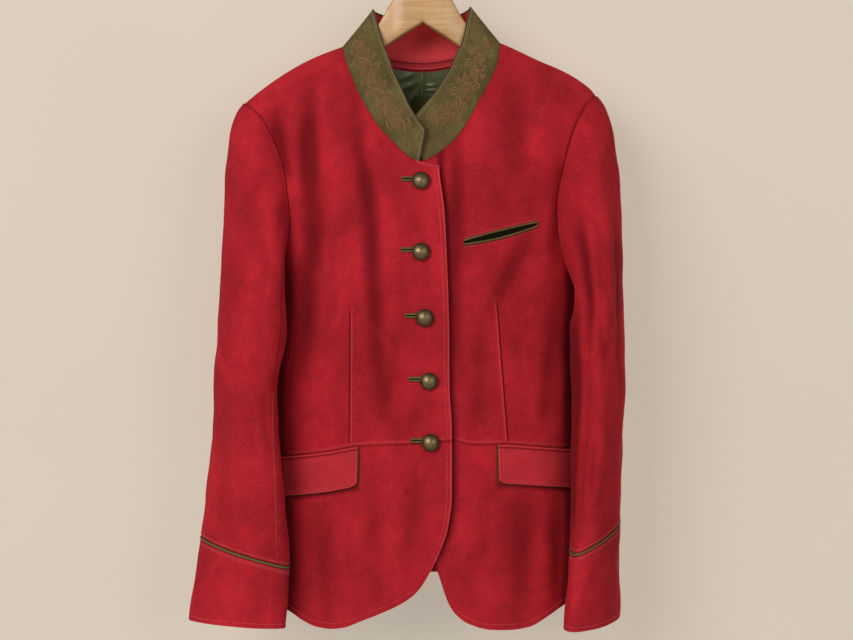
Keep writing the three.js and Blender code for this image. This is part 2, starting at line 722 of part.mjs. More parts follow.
// ---------------------------------------------------------------- pocket flaps and breast pocket
// A patch that lies on the front: rows of x and z, with its lift over the panel.
const patch = (rows, lapping) => rows.map((row) => row.map(([x, z]) => clothPoint(-1, placeOf(x, z), lapping)));
const FLAPS = {
  right: { turns: [-25.5, -79], height: 49, lapping: true },
  left: { turns: [28, 81], height: 48, lapping: false },
};
Object.entries(FLAPS).forEach(([side, { turns, height, lapping }]) => {
  const flapGrid = (inset) => {
    const grid = [];
    for (let i = 0; i <= 5; i += 1) {
      const row = [];
      for (let j = 0; j <= 11; j += 1) {
        const u = mix(inset, 1 - inset, j / 11);
        const turn = degrees(mix(turns[0], turns[1], u));
        const top = WAIST("z", BODY("half", -625) * Math.sin(turn)) - 1;
        const corner = 7 * (ramp(0.07, 0, u) + ramp(0.93, 1, u));
        const deep = height - corner - 40 * inset;
        row.push(clothPoint(-1, [turn, dropOf(turn, top - (deep * i) / 5)], lapping));
      }
      grid.push(row);
    }
    return grid;
  };
  const backing = LAID + 1.0;
  add(`flap_backing_${side}`, wallGeometry(flapGrid(0), LAID, backing), OLIVE_SUEDE);
  add(`flap_${side}`, wallGeometry(flapGrid(0.012), backing + SEAM, backing + SEAM + 1.5), RED_SUEDE);
});

const POCKET = table("t x z half", [
  [0, 47, -390.5, 3.6],
  [0.1, 56, -388.6, 4.3],
  [0.5, 88, -381, 5.5],
  [0.9, 122, -371.4, 4.4],
  [1, 131, -368.5, 3.4],
]);
const POCKET_WELT = 2.4;
function pocketGrid(low, high, from = 0, to = 1) {
  return [high, low].map((edge) => {
    const row = [];
    for (let j = 0; j <= 8; j += 1) {
      const t = mix(from, to, j / 8);
      row.push([POCKET("x", t), POCKET("z", t) + edge(POCKET("half", t))]);
    }
    return row;
  });
}
const slit = (half) => half - POCKET_WELT;
const upperWelt = pocketGrid(slit, (half) => half);
const lowerWelt = pocketGrid(
  (half) => -half,
  (half) => -slit(half),
);
const slitCloth = pocketGrid(
  (half) => SEAM - slit(half),
  (half) => slit(half) - SEAM,
  0.06,
  0.94,
);
add("breast_welt_upper", wallGeometry(patch(upperWelt), LAID, LAID + 1.4), OLIVE_SUEDE);
add("breast_welt_lower", wallGeometry(patch(lowerWelt), LAID, LAID + 1.4), OLIVE_SUEDE);
add("breast_pocket_slit", wallGeometry(patch(slitCloth), LAID - 0.1, LAID + 0.6), OLIVE_SUEDE);

// ---------------------------------------------------------------- buttonholes and buttons
const BUTTONS = table("t x z", [
  [1, -2.1, -321],
  [2, -2.1, -401.8],
  [3, 2, -476.3],
  [4, 6.9, -548.5],
  [5, 8.7, -618.6],
]);
const BUTTON_PROFILE = table("t radius height", [
  [0, 2.6, LAID],
  [1, 2.6, BUTTON_SHANK],
  [2, 8.6, BUTTON_SHANK + 0.2],
  [3, BUTTON_DIAMETER / 2, BUTTON_SHANK + 1.2],
  [4, BUTTON_DIAMETER / 2 - 0.2, BUTTON_SHANK + 2.2],
  [5, 8, BUTTON_RISE - 1.7],
  [6, 4.4, BUTTON_RISE - 0.4],
]);
for (let number = 1; number <= 5; number += 1) {
  const x = BUTTONS("x", number);
  const z = BUTTONS("z", number);
  const { p, n } = clothPoint(-1, placeOf(x, z), true);
  const across = new THREE.Vector3(0, 0, 1).cross(n).normalize();
  const up = n.clone().cross(across);
  const rings = [];
  for (let i = 0; i <= 6; i += 1) {
    const ring = [];
    for (let j = 0; j < 14; j += 1) {
      const angle = (2 * Math.PI * j) / 14;
      const radius = BUTTON_PROFILE("radius", i);
      const centre = p.clone().addScaledVector(n, BUTTON_PROFILE("height", i));
      centre.addScaledVector(across, radius * Math.cos(angle)).addScaledVector(up, radius * Math.sin(angle));
      ring.push(centre);
    }
    rings.push(ring);
  }
  add(`button_${number}`, loftGeometry(rings, true), BRASS);

  const lips = [2.9, 1.5, 0.35, -0.35, -1.5, -2.9].map((dz) =>
    [-22.5, -18, -13, -8, -3.6].map((dx) => [x + dx, z + 2.4 + dz]),
  );
  const lift = (i) => LAID + [0.7, 1.2, 0.75, 0.75, 1.2, 0.7][i];
  add(`buttonhole_${number}`, wallGeometry(patch(lips, true), LAID - 0.1, lift), OLIVE_SUEDE);
}

// ---------------------------------------------------------------- wooden hanger and hook
// Arms of the hanger by distance across: top and foot of the wood, half its thickness.
const HANGER = table("x top foot half bow", [
  [-201, -222, -232, 5, 1],
  [-190, -212, -232, 8, 1],
  [-160, -191.5, -223, 9, 0],
  [-130, -175, -211, 9.5, 0],
  [-96, -163.5, -194, 9.5, 0],
  [-75, -149.5, -177, 8, 0],
  [-54, -130, -163, 7.5, 1],
  [-38, -103, -151, 8.5, 1],
  [-20, -77, -138, 10, 0],
  [0, -69, -127, 10, 0],
  [20, -76, -138, 10, 0],
  [36, -102, -150, 8.5, 1],
  [50, -126, -160, 6, 1.5],
  [70, -144, -174, 8, 0],
  [91, -159.5, -190, 9.5, 0],
  [130, -174.5, -209, 9.5, 0],
  [160, -188.5, -220, 9, 0],
  [185, -203.5, -227, 8, 1],
  [196, -213, -224, 5, 1],
]);
const hangerRings = [];
for (let i = 0; i <= 32; i += 1) {
  const x = mix(-201, 196, i / 32);
  const ring = [];
  for (let j = 0; j < 12; j += 1) {
    const angle = (2 * Math.PI * j) / 12;
    const squareness = (value) => Math.sign(value) * Math.abs(value) ** 0.9;
    const middle = (HANGER("top", x) + HANGER("foot", x)) / 2;
    const tall = (HANGER("top", x) - HANGER("foot", x)) / 2;
    const y = HANGER("bow", x) + HANGER("half", x) * squareness(Math.cos(angle));
    ring.push(new THREE.Vector3(x, y, middle + tall * squareness(Math.sin(angle))));
  }
  hangerRings.push(ring);
}
add("hanger_wood", loftGeometry(hangerRings, true), BEECH);

const wire = HOOK_WIRE / 2;
const bow = HOOK_INSIDE + wire;
const hookLine = [new THREE.Vector3(0, 0, -69 + SEAM + 0.2), new THREE.Vector3(0, 0, -60)];
for (let angle = -52; angle <= 205; angle += 15) {
  const a = degrees(angle);
  hookLine.push(new THREE.Vector3(bow * Math.cos(a), 0, -HOOK_INSIDE + bow * Math.sin(a)));
}
const hookCurve = new THREE.CatmullRomCurve3(hookLine, false, "centripetal");
const hookRings = [];
for (let i = 0; i <= 27; i += 1) {
  const centre = hookCurve.getPointAt(i / 27);
  const ahead = hookCurve.getTangentAt(i / 27);
  const side = new THREE.Vector3(0, 1, 0);
  const up = ahead.clone().cross(side).normalize();
  const ring = [];
  for (let j = 0; j < 8; j += 1) {
    const angle = (2 * Math.PI * (j + 0.5)) / 8;
    ring.push(
      centre.clone().addScaledVector(side, wire * Math.cos(angle)).addScaledVector(up, wire * Math.sin(angle)),
    );
  }
  hookRings.push(ring);
}
add("hanger_hook", loftGeometry(hookRings, true), STEEL);

export default jacket;
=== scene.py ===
import math

import bpy
import numpy as np
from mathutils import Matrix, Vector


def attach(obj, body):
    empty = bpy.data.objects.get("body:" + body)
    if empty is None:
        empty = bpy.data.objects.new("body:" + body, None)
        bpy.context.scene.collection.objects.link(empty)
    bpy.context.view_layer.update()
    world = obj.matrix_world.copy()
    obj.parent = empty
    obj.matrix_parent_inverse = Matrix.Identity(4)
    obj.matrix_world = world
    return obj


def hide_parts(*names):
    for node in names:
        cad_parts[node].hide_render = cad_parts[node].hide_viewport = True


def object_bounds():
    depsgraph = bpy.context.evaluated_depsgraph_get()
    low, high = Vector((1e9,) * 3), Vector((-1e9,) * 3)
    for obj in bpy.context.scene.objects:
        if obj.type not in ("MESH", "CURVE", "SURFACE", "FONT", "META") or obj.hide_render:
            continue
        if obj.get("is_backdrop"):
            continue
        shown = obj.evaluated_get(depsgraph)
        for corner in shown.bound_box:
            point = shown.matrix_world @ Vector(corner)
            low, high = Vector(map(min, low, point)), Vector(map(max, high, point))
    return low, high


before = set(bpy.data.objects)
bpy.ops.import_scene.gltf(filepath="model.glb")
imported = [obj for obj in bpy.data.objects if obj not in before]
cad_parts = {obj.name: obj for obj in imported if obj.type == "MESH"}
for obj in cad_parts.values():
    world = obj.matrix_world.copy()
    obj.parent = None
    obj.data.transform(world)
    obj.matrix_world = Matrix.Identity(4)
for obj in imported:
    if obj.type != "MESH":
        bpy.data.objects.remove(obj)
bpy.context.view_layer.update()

# ---------------------------------------------------------------- the hanger's arms
# A shaped wooden hanger: one piece of beech sawn to a bow, its edges rounded over, sanded and
# lacquered.  The jacket's shoulders lie on its two arms.


def table(names, rows):
    """A short table: the first column is the station, the others are read smoothly between rows."""
    names = names.split()
    rows = np.array(rows, float)
    station, width = rows[:, 0], np.diff(rows[:, 0])

    def read(name, at):
        value = rows[:, names.index(name)]
        lean = np.diff(value) / width
        slope = np.zeros(len(value))
        for i in range(1, len(value) - 1):
            if lean[i - 1] * lean[i] > 0:
                slope[i] = 2 * lean[i - 1] * lean[i] / (lean[i - 1] + lean[i])
        at = np.clip(at, station[0], station[-1])
        i = np.clip(np.searchsorted(station, at, side="right") - 1, 0, len(width) - 1)
        t = (at - station[i]) / width[i]
        return (
            value[i] * (1 + 2 * t) * (1 - t) ** 2
            + value[i + 1] * t * t * (3 - 2 * t)
            + slope[i] * width[i] * t * (1 - t) ** 2
            - slope[i + 1] * width[i] * t * t * (1 - t)
        )

    return read


def add_mesh(name, points, faces, material, marks=None):
    """A closed mesh from points in millimetres; faces is a list of arrays, one for each count of corners."""
    middle = points.mean(axis=0)
    volume = 0.0
    for group in faces:
        for k in range(1, group.shape[1] - 1):
            a, b, c = (points[group[:, m]] - middle for m in (0, k, k + 1))
            volume += np.einsum("ij,ij->i", a, np.cross(b, c)).sum()
    if volume < 0:
        faces = [group[:, ::-1] for group in faces]
    loops = np.concatenate([group.ravel() for group in faces])
    sizes = np.concatenate([np.full(len(group), group.shape[1]) for group in faces])
    mesh = bpy.data.meshes.new(name)
    mesh.vertices.add(len(points))
    mesh.vertices.foreach_set("co", (points * 0.001).astype(np.float32).ravel())
    mesh.loops.add(len(loops))
    mesh.loops.foreach_set("vertex_index", loops.astype(np.int32))
    mesh.polygons.add(len(sizes))
    mesh.polygons.foreach_set("loop_start", np.concatenate([[0], np.cumsum(sizes)[:-1]]).astype(np.int32))
    mesh.update(calc_edges=True)
    mesh.polygons.foreach_set("use_smooth", np.ones(len(sizes), bool))
    mesh.set_sharp_from_angle(angle=math.radians(48))
    for mark, value in (marks or {}).items():
        layer = mesh.attributes.new(mark, "FLOAT", "POINT")
        layer.data.foreach_set("value", np.asarray(value, np.float32).ravel())
    mesh.materials.append(material)
    piece = bpy.data.objects.new(name, mesh)
    bpy.context.scene.collection.objects.link(piece)
    return piece


def bands(at):
    """The faces between the rows of a grid of point numbers whose last column meets its first."""
    ahead = np.roll(at, -1, axis=1)
    return np.stack([at[:-1], at[1:], ahead[1:], ahead[:-1]], axis=-1).reshape(-1, 4)


def loft(name, rings, material):
    """A closed solid through rings of equal count."""
    rows, count = rings.shape[:2]
    points = np.concatenate([rings.reshape(-1, 3), rings[:1].mean(axis=1), rings[-1:].mean(axis=1)])
    at = np.arange(rows * count).reshape(rows, count)
    ahead = np.roll(at, -1, axis=1)
    start = np.full(count, rows * count)
    caps = [np.stack([start, at[0], ahead[0]], axis=-1), np.stack([start + 1, ahead[-1], at[-1]], axis=-1)]
    return add_mesh(name, points, [bands(at), np.concatenate(caps)], material)


def linear(colour):
    """The linear colour of an sRGB hex value."""
    parts = [int(colour[i : i + 2], 16) / 255 for i in (1, 3, 5)]
    return [c / 12.92 if c <= 0.04045 else ((c + 0.055) / 1.055) ** 2.4 for c in parts] + [1.0]


def start_material(name, sockets):
    """A material, with what is the same all over set on its shader's own sockets."""
    material = bpy.data.materials.new(name)
    material.use_nodes = True
    for socket, value in sockets.items():
        material.node_tree.nodes["Principled BSDF"].inputs[socket].default_value = value
    return material


def add_node(material, kind, values=None, links=None, **settings):
    """Adds a node with its settings, the values of its sockets and the links into them."""
    made = material.node_tree.nodes.new("ShaderNode" + kind)
    for name, value in settings.items():
        setattr(made, name, value)
    for socket, value in (values or {}).items():
        made.inputs[socket].default_value = value
    for socket, source in (links or {}).items():
        material.node_tree.links.new(source, made.inputs[socket])
    return made


def per(size):
    """Scale of a pattern whose repeat is this many millimetres."""
    return 1000 / size


def stretched(material, scale, turn=(0, 0, 0)):
    """The piece's own coordinates, scaled along x, y and z and turned, to draw a pattern out one way."""
    place = add_node(material, "TexCoord").outputs["Object"]
    return add_node(material, "Mapping", {"Scale": scale, "Rotation": turn}, {"Vector": place}).outputs[0]


def noise(material, size, detail, place=None, **more):
    """Noise with a grain of this many millimetres."""
    if place is None:
        place = add_node(material, "TexCoord").outputs["Object"]
    values = {"Scale": per(size), "Detail": detail, **more}
    return add_node(material, "TexNoise", values, {"Vector": place}).outputs[0]


def blend(material, share, low, high):
    """A colour between two hex colours, by a share 0..1."""
    return add_node(material, "Mix", {6: linear(low), 7: linear(high)}, {0: share}, data_type="RGBA").outputs[2]


def over(material, share, under, colour):
    """A hex colour laid over what is under it, by a share 0..1."""
    return add_node(material, "Mix", {7: linear(colour)}, {0: share, 6: under}, data_type="RGBA").outputs[2]


def remap(material, value, source, result):
    """Carries one range of a value over to another."""
    limits = zip(("From Min", "From Max", "To Min", "To Max"), (*source, *result))
    return add_node(material, "MapRange", dict(limits), {"Value": value}).outputs[0]


def relief(material, strength, depth, height, under=None):
    """Fine relief, its depth in millimetres, over the one that is under it."""
    links = {"Height": height} if under is None else {"Height": height, "Normal": under}
    return add_node(material, "Bump", {"Strength": strength, "Distance": depth / 1000}, links).outputs[0]


def finish(material, colour, normal=None, roughness=None):
    """Links colour, relief and roughness into the material's shader."""
    shader = material.node_tree.nodes["Principled BSDF"]
    for socket, source in (("Base Color", colour), ("Normal", normal), ("Roughness", roughness)):
        if source is not None:
            material.node_tree.links.new(source, shader.inputs[socket])


# Lacquered beech: pale and warm, with long faint growth lines and short darker flecks along the
# grain, under a satin lacquer.
beech = start_material("lacquered_beech", {"Roughness": 0.42, "Coat Weight": 0.25, "Coat Roughness": 0.3})
along = stretched(beech, (0.06, 1, 1))
growth, fleck = noise(beech, 5, 3, along), noise(beech, 1.1, 1, along)
grain = blend(beech, remap(beech, growth, (0.3, 0.7), (0, 1)), "#B38858", "#C8A274")
flecked = over(beech, remap(beech, fleck, (0.62, 0.75), (0, 0.5)), grain, "#936A42")
finish(beech, flecked, relief(beech, 0.12, 0.3, fleck))

HANGER = table("x top foot half bow", [
    (-201, -222, -232, 5, 1), (-190, -212, -232, 8, 1), (-160, -191.5, -223, 9, 0),
    (-130, -175, -211, 9.5, 0), (-96, -163.5, -194, 9.5, 0), (-75, -149.5, -177, 8, 0),
    (-54, -130, -163, 7.5, 1), (-38, -103, -151, 8.5, 1), (-20, -77, -139.5, 10, 0),
    (-3, -69.2, -129, 10, 0), (0, -69, -127.2, 10, 0), (3, -69.2, -129, 10, 0), (20, -76, -139.5, 10, 0),
    (36, -102, -150, 8.5, 1), (50, -126, -160, 6, 1.5), (70, -144, -174, 8, 0), (91, -159.5, -190, 9.5, 0),
    (130, -174.5, -209, 9.5, 0), (160, -188.5, -220, 9, 0), (185, -203.5, -227, 8, 1),
    (196, -213, -224, 5, 1),
])
x = np.linspace(-201, 196, 265)[:, None]
angle = np.linspace(0, 2 * math.pi, 64, endpoint=False)[None, :]
rounded = lambda value: np.sign(value) * np.abs(value) ** 0.36
top, foot = HANGER("top", x), HANGER("foot", x)
across = HANGER("bow", x) + HANGER("half", x) * rounded(np.cos(angle))
upright = (top + foot) / 2 + (top - foot) / 2 * rounded(np.sin(angle))
hanger = loft("hanger_arms", np.stack([x + 0 * angle, across, upright], axis=-1), beech)
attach(hanger, "root")
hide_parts("hanger_wood")

# ---------------------------------------------------------------- the hanger's hook
# A hook of 4 mm steel wire, bent over a former, plated and driven into the top of the wood.
# Thickness of the wire and inside radius of the hook, in mm.
HOOK_WIRE = 4
HOOK_INSIDE = 19
# Plating: bright grey, duller in soft patches, with the faint marks of the drawn wire under it.
steel = start_material("plated_steel_wire", {"Metallic": 1.0, "Roughness": 0.3})
dull = noise(steel, 6, 4)
drawn = relief(steel, 0.08, 0.2, noise(steel, 0.8, 2))
finish(steel, blend(steel, dull, "#A7A9AC", "#C9CBCD"), drawn, remap(steel, dull, (0, 1), (0.22, 0.42)))


def tube(line, beside, up, radius, sides):
    """The rings of a round wire or cord along a line, across its two side directions."""
    angle = np.linspace(0, 2 * math.pi, sides, endpoint=False)[:, None]
    beside, up = (np.broadcast_to(way, line.shape)[:, None] for way in (beside, up))
    return line[:, None] + radius[:, None, None] * (beside * np.cos(angle) + up * np.sin(angle))


reach = HOOK_INSIDE + HOOK_WIRE / 2
bend = np.radians(np.linspace(-52, 200, 90))
stem = np.stack([np.zeros(24), np.zeros(24), np.linspace(-68.4, -52, 24)], axis=-1)
hook = np.stack([reach * np.cos(bend), 0 * bend, -HOOK_INSIDE + reach * np.sin(bend)], axis=-1)
swing = np.linspace(0, 1, 22)[1:-1, None]
joint = (1 - swing) ** 2 * stem[-1] + 2 * swing * (1 - swing) * np.array([0.6, 0, -44]) + swing**2 * hook[0]
line = np.concatenate([stem, joint, hook])
ahead = np.gradient(line, axis=0)
ahead /= np.linalg.norm(ahead, axis=1, keepdims=True)
beside = np.array([0.0, 1.0, 0.0])
radius = np.full(len(line), HOOK_WIRE / 2)
radius[-5:] *= [0.98, 0.92, 0.8, 0.6, 0.3]
hook_piece = loft("hanger_hook_wire", tube(line, beside, np.cross(ahead, beside), radius, 20), steel)
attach(hook_piece, "root")
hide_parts("hanger_hook")

# ---------------------------------------------------------------- fronts and skirts
# Two fronts cut in one from shoulder to waist, and a skirt piece sewn under each, all of red goat
# suede 1.6 mm thick.  They hang from the hanger in soft folds; the right front laps over the left.
# In mm: the suede's thickness, the gap in a seam, the gap where front and back meet, the roundness of the
# shoulders and how far the right front lies over the left one.
SUEDE = 1.6
SEAM = 0.3
TOUCH = 0.04
ROUND = 70
LAP = 2.7
# Heights below the hook, and the middle and half width of the shoulders.
UNDERARM = -440
WAIST_LEVEL = -625
HEM_LEVEL = -815
SHOULDER_MIDDLE, SHOULDER_HALF = -3, 232


def ramp(low, high, value):
    """0 up to low, 1 from high on and a soft rise between; it falls where low is the greater."""
    t = np.clip((value - low) / (high - low), 0, 1)
    return t * t * (3 - 2 * t)


def mix(a, b, t):
    """From a to b by the share t."""
    return a + (b - a) * t


def near(distance, at, width):
    """1 at a distance, fading to 0 over a width on both sides of it."""
    return np.exp(-(((distance - at) / width) ** 2))


def suede(name, base, dark, light, patch=60, nap=0.3):
    """Brushed suede: a dull nap that lies this way and that in soft patches, with a velvet sheen.
    The grain of the nap is drawn at 1.2 mm, coarser than the real fibres, so that it shows."""
    sheen = {"Sheen Weight": 0.22, "Sheen Roughness": 0.5, "Sheen Tint": linear(light)}
    material = start_material(name, {"Roughness": 0.94, "Specular IOR Level": 0.12, **sheen})
    broad = noise(material, patch, 2, stretched(material, (1.2, 1, 0.7), (0, 0.3, 0)), Distortion=0.6)
    cloud = noise(material, patch / 4, 4, Roughness=0.55)
    speck = noise(material, 3.4, 3, Roughness=0.6)
    fibre = noise(material, 1.2, 2, Roughness=0.7)
    tone = blend(material, remap(material, broad, (0.34, 0.66), (0, 0.75)), base, mid_tone(base, dark))
    tone = over(material, remap(material, cloud, (0.42, 0.78), (0, nap)), tone, dark)
    tone = over(material, remap(material, speck, (0.5, 0.8), (0, nap * 0.7)), tone, light)
    # Each piece says where its suede is painted pale, as wear and as painted highlight on edges and ridges, and
    # where it is painted dark as painted shade.
    for mark, colour in (("edge", light), ("hollow", dark)):
        share = add_node(material, "Attribute", attribute_name=mark).outputs["Fac"]
        tone = over(material, share, tone, colour)
    finish(material, tone, relief(material, 0.5, 0.35, fibre, relief(material, 0.3, 0.8, cloud)))
    return material


def mid_tone(one, other):
    """The sRGB hex colour half way between two."""
    return "#" + "".join(f"{(int(one[i:i + 2], 16) + int(other[i:i + 2], 16)) // 2:02X}" for i in (1, 3, 5))


red_suede = suede("red_goat_suede", "#B2202C", "#650A14", "#D0454C")

# Sections of the body by height: middle, half width, depth of the front and of the back.
BODY = table("z middle half front back", [
    (-860, 1, 193, 79, 76), (-834, 1, 191, 78, 74), (-740, 1, 186, 74, 66), (-625, 0, 179, 69, 54),
    (-560, 0, 178, 70, 56), (-490, 0, 180, 74, 64), (-430, -1, 183, 76, 72), (-350, -2, 196, 71, 74),
    (-300, -2, 210, 64, 71), (-250, -3, 226, 53, 62), (-225, -3, 232, 46, 55), (-150, -3, 232, 32, 40),
])
RIDGE = table("x z", [
    (-240, -246), (-212, -223), (-195, -209), (-162, -186), (-132, -169.5), (-95, -155), (-50, -140),
    (0, -131), (50, -137), (91, -150.5), (138, -172), (164, -183), (182, -193), (198, -205), (206, -214.5),
    (235, -240),
])
# Soft folds of the fronts: x and z of one end, x and z of the other, width, and rise (a trough is negative).
FRONT_FOLDS = [
    (-131, -200, -133, -310, 12, -3.8), (-133, -260, -125, -410, 13, -3.8),
    (-127, -380, -138, -540, 13, -3.8), (-108, -190, -104, -330, 12, 2.4), (-78, -260, -62, -345, 9, -3.2),
    (-62, -310, -54, -480, 11, -4.0), (-56, -450, -44, -600, 10, -3.4), (-97, -300, -90, -520, 14, 2.6),
    (40, -270, 38, -430, 10, -3.6), (36, -400, 42, -560, 8, -2.4), (122, -385, 80, -466, 11, -3.6),
    (-174, -240, -160, -320, 10, -5.4), (104, -200, 110, -300, 17, -2.4), (134, -220, 140, -320, 12, 2.0),
    (164, -300, 152, -420, 9, -4.2), (146, -300, 138, -560, 12, 2.6), (120, -680, 112, -820, 15, -3.2),
    (-118, -690, -112, -815, 14, -2.8), (-150, -290, -153, -430, 9, 2.0), (-84, -190, -70, -280, 9, -2.0),
    (-40, -330, -26, -470, 9, 2.0), (-30, -500, -42, -590, 9, -2.0), (62, -250, 72, -360, 13, 2.2),
    (22, -360, 28, -520, 7, 1.2), (70, -480, 62, -600, 10, -2.2), (150, -480, 142, -600, 11, -2.6),
    (-64, -640, -52, -790, 13, -1.8), (-152, -680, -147, -800, 10, 2.0), (60, -690, 54, -820, 13, 2.0),
    (156, -690, 158, -800, 10, -2.6), (-8, -650, -20, -750, 12, -1.6),
]
BACK_FOLDS = [
    (-70, -300, -62, -600, 15, -4.8), (78, -330, 60, -640, 14, -4.6), (-128, -250, -118, -420, 12, -4.0),
    (122, -260, 132, -430, 12, -4.0), (20, -640, 34, -790, 17, 3.4), (-20, -230, -12, -420, 14, 2.4),
    (-104, -420, -120, -600, 12, 2.4), (110, -470, 96, -620, 11, -2.8), (-40, -620, -52, -780, 12, -3.0),
    (120, -650, 128, -780, 12, -2.6), (-130, -640, -136, -780, 10, 2.2), (40, -280, 34, -360, 10, -2.4),
    (-30, -250, -80, -320, 10, -2.2), (20, -420, 10, -560, 11, -2.0),
]


def fold_at(folds, x, z, gain=1.2, tail=0.12):
    """Rise of the cloth at x, z from its folds, each fading out towards both ends."""
    rise = np.zeros_like(x)
    for x0, z0, x1, z1, width, height in folds:
        t = np.clip(((x - x0) * (x1 - x0) + (z - z0) * (z1 - z0)) / ((x1 - x0) ** 2 + (z1 - z0) ** 2), 0, 1)
        off = np.hypot(x - mix(x0, x1, t), z - mix(z0, z1, t))
        rise += gain * height * near(off, 0, width) * np.sin(math.pi * mix(tail, 1 - tail, t))
    return rise


def undulation(a, b):
    """The uneven lie of a hanging skin, from a few long waves across each other; a and b in mm."""
    return (
        0.30 * np.sin(a / 9.7 + 1.3 * np.sin(b / 31))
        + 0.34 * np.sin(b / 13.1 + 0.8 + 1.1 * np.sin(a / 17.0))
        + 0.26 * np.sin((a + b) / 7.9 + 2.1)
        + 0.22 * np.sin((a - 1.4 * b) / 11.3 + 0.5)
    )


def shoulder_line(turn):
    """Height of the shoulder's ridge, by the turn round the body."""
    return RIDGE("z", SHOULDER_MIDDLE + SHOULDER_HALF * np.sin(turn))


def form_point(face, turn, drop):
    """Point of the body's form: face -1 front or 1 back, turn round the body, drop under the shoulder."""
    ridge = shoulder_line(turn)
    roll = np.minimum(drop / ROUND, math.pi / 2)
    z = ridge - ROUND * (1 - np.cos(roll)) - np.maximum(0, drop - ROUND * math.pi / 2)
    depth = BODY("front" if face < 0 else "back", z) * np.cos(turn) * np.sin(roll)
    x = BODY("middle", z) + BODY("half", z) * np.sin(turn)
    return np.stack([x, face * (depth + TOUCH / 2), z], axis=-1)


def drop_of(turn, z):
    """The drop under the shoulder at which the form has this height."""
    under = shoulder_line(turn) - z
    curled = ROUND * np.arccos(np.clip(1 - under / ROUND, -1, 1))
    return np.where(under < 0, 0, np.where(under < ROUND, curled, ROUND * math.pi / 2 + under - ROUND))


def place_at(turn, z):
    """The place on the form at a turn round the body and a height."""
    return np.stack([turn, drop_of(turn, z)], axis=-1)


def place_of(x, z):
    """The place on the form at x, z."""
    return place_at(np.arcsin(np.clip((x - BODY("middle", z)) / BODY("half", z), -1, 1)), z)


def unit(v):
    """Directions of length 1."""
    return v / np.maximum(np.linalg.norm(v, axis=-1, keepdims=True), 1e-9)


def cloth(face, place, lapping=False):
    """Point of the hanging cloth and its outward normal; lapping lifts the front that lies on the other."""
    turn, drop = place[..., 0], place[..., 1]
    across = form_point(face, turn + 0.004, drop) - form_point(face, turn - 0.004, drop)
    down = form_point(face, turn, drop + 0.4) - form_point(face, turn, drop - 0.4)
    n = unit(np.cross(across, down)) * face
    p = form_point(face, turn, drop)
    # Folds and unevenness fade out towards the shoulders and the side seams.
    ease = np.where(np.abs(turn) > 1.5, 0, ramp(0, 60, drop) * ramp(0, 0.35, math.pi / 2 - np.abs(turn)))
    rise = fold_at(FRONT_FOLDS if face < 0 else BACK_FOLDS, p[..., 0], p[..., 2])
    p = p + n * (ease * (rise + 0.8 * undulation(p[..., 0] + 260 * (face > 0), p[..., 2])))[..., None]
    if lapping:
        # The lapping front stands off a little more beyond the buttons, most of all towards the neck.
        lifted = (1.2 + 3.0 * ramp(-560, -360, p[..., 2])) * ramp(4, 25, p[..., 0])
        p = p + n * (LAP * ramp(-62, -26, p[..., 0]) + lifted)[..., None]
    return p, n


def between(top, bottom, inner, outer, across, heights):
    """Grid of places between four edges; each edge gives its place for 0..1."""
    u, v = np.meshgrid(across, heights)
    fall = np.stack([v**0.6, v], axis=-1)
    none, all_ = np.zeros_like(u), np.ones_like(u)
    # Start from the top and foot edges, then pull both sides over to their own edges.
    lean = mix(top(u), bottom(u), fall)
    lean = lean + ((1 - u) ** 1.5)[..., None] * (inner(v) - mix(top(none), bottom(none), fall))
    return lean + (u**1.5)[..., None] * (outer(v) - mix(top(all_), bottom(all_), fall))


def joined(first, share, second):
    """One edge made of two, the first one up to this share of it."""
    def edge(t):
        a, b = first(np.clip(t / share, 0, 1)), second(np.clip((t - share) / (1 - share), 0, 1))
        return np.where((t < share)[..., None], a, b)

    return edge


def travelled(p, axis=0):
    """How far each point is from the first one along a line, or along one axis of a grid, in mm."""
    steps = np.linalg.norm(np.diff(p, axis=axis), axis=-1)
    return np.insert(np.cumsum(steps, axis=axis), 0, 0, axis=axis)


def edge_distance(p):
    """How far each point of a grid is from its top, foot, first and last column, in mm."""
    top, first = travelled(p), travelled(p, 1)
    return top, top[-1] - top, first, first[:, -1:] - first


def shell(name, p, n, high, low, material, closed=False, **marks):
    """A wall of cloth on a grid of points and normals, from the height low to the height high over them;
    closed joins its last column to its first.  The mark edge paints it pale, as wear and as painted highlight;
    the shade mark paints it dark as painted shade."""
    outer, inner = (p + n * np.broadcast_to(level, p.shape[:2])[..., None] for level in (high, low))
    rows, columns = p.shape[:2]
    at = np.arange(rows * columns).reshape(rows, columns)
    if closed:
        at = np.concatenate([at, at[:, :1]], axis=1)
    under = at + rows * columns
    ring = lambda *corners: np.stack(corners, axis=-1).reshape(-1, 4)
    quads = [
        ring(at[:-1, :-1], at[1:, :-1], at[1:, 1:], at[:-1, 1:]),
        ring(under[:-1, :-1], under[:-1, 1:], under[1:, 1:], under[1:, :-1]),
        ring(at[0, :-1], at[0, 1:], under[0, 1:], under[0, :-1]),
        ring(at[-1, :-1], under[-1, :-1], under[-1, 1:], at[-1, 1:]),
    ]
    if not closed:
        quads.append(ring(at[:-1, 0], under[:-1, 0], under[1:, 0], at[1:, 0]))
        quads.append(ring(at[:-1, -1], at[1:, -1], under[1:, -1], under[:-1, -1]))
    points = np.concatenate([outer.reshape(-1, 3), inner.reshape(-1, 3)])
    both = {mark: np.tile(np.broadcast_to(value, p.shape[:2]).ravel(), 2) for mark, value in marks.items()}
    return add_mesh(name, points, [np.concatenate(quads)], material, both)


def fine_steps(count, sides, depth=0.035, extra=9):
    """Shares 0..1 in even steps, with closer ones beside the named ends."""
    steps = np.linspace(0, 1, count + 1)
    close = depth * np.linspace(0, 1, extra + 1) ** 1.2
    if "first" in sides:
        steps = np.concatenate([steps, close])
    if "last" in sides:
        steps = np.concatenate([steps, 1 - close])
    steps = np.sort(steps)
    return steps[np.concatenate([[True], np.diff(steps) > 0.0004])]


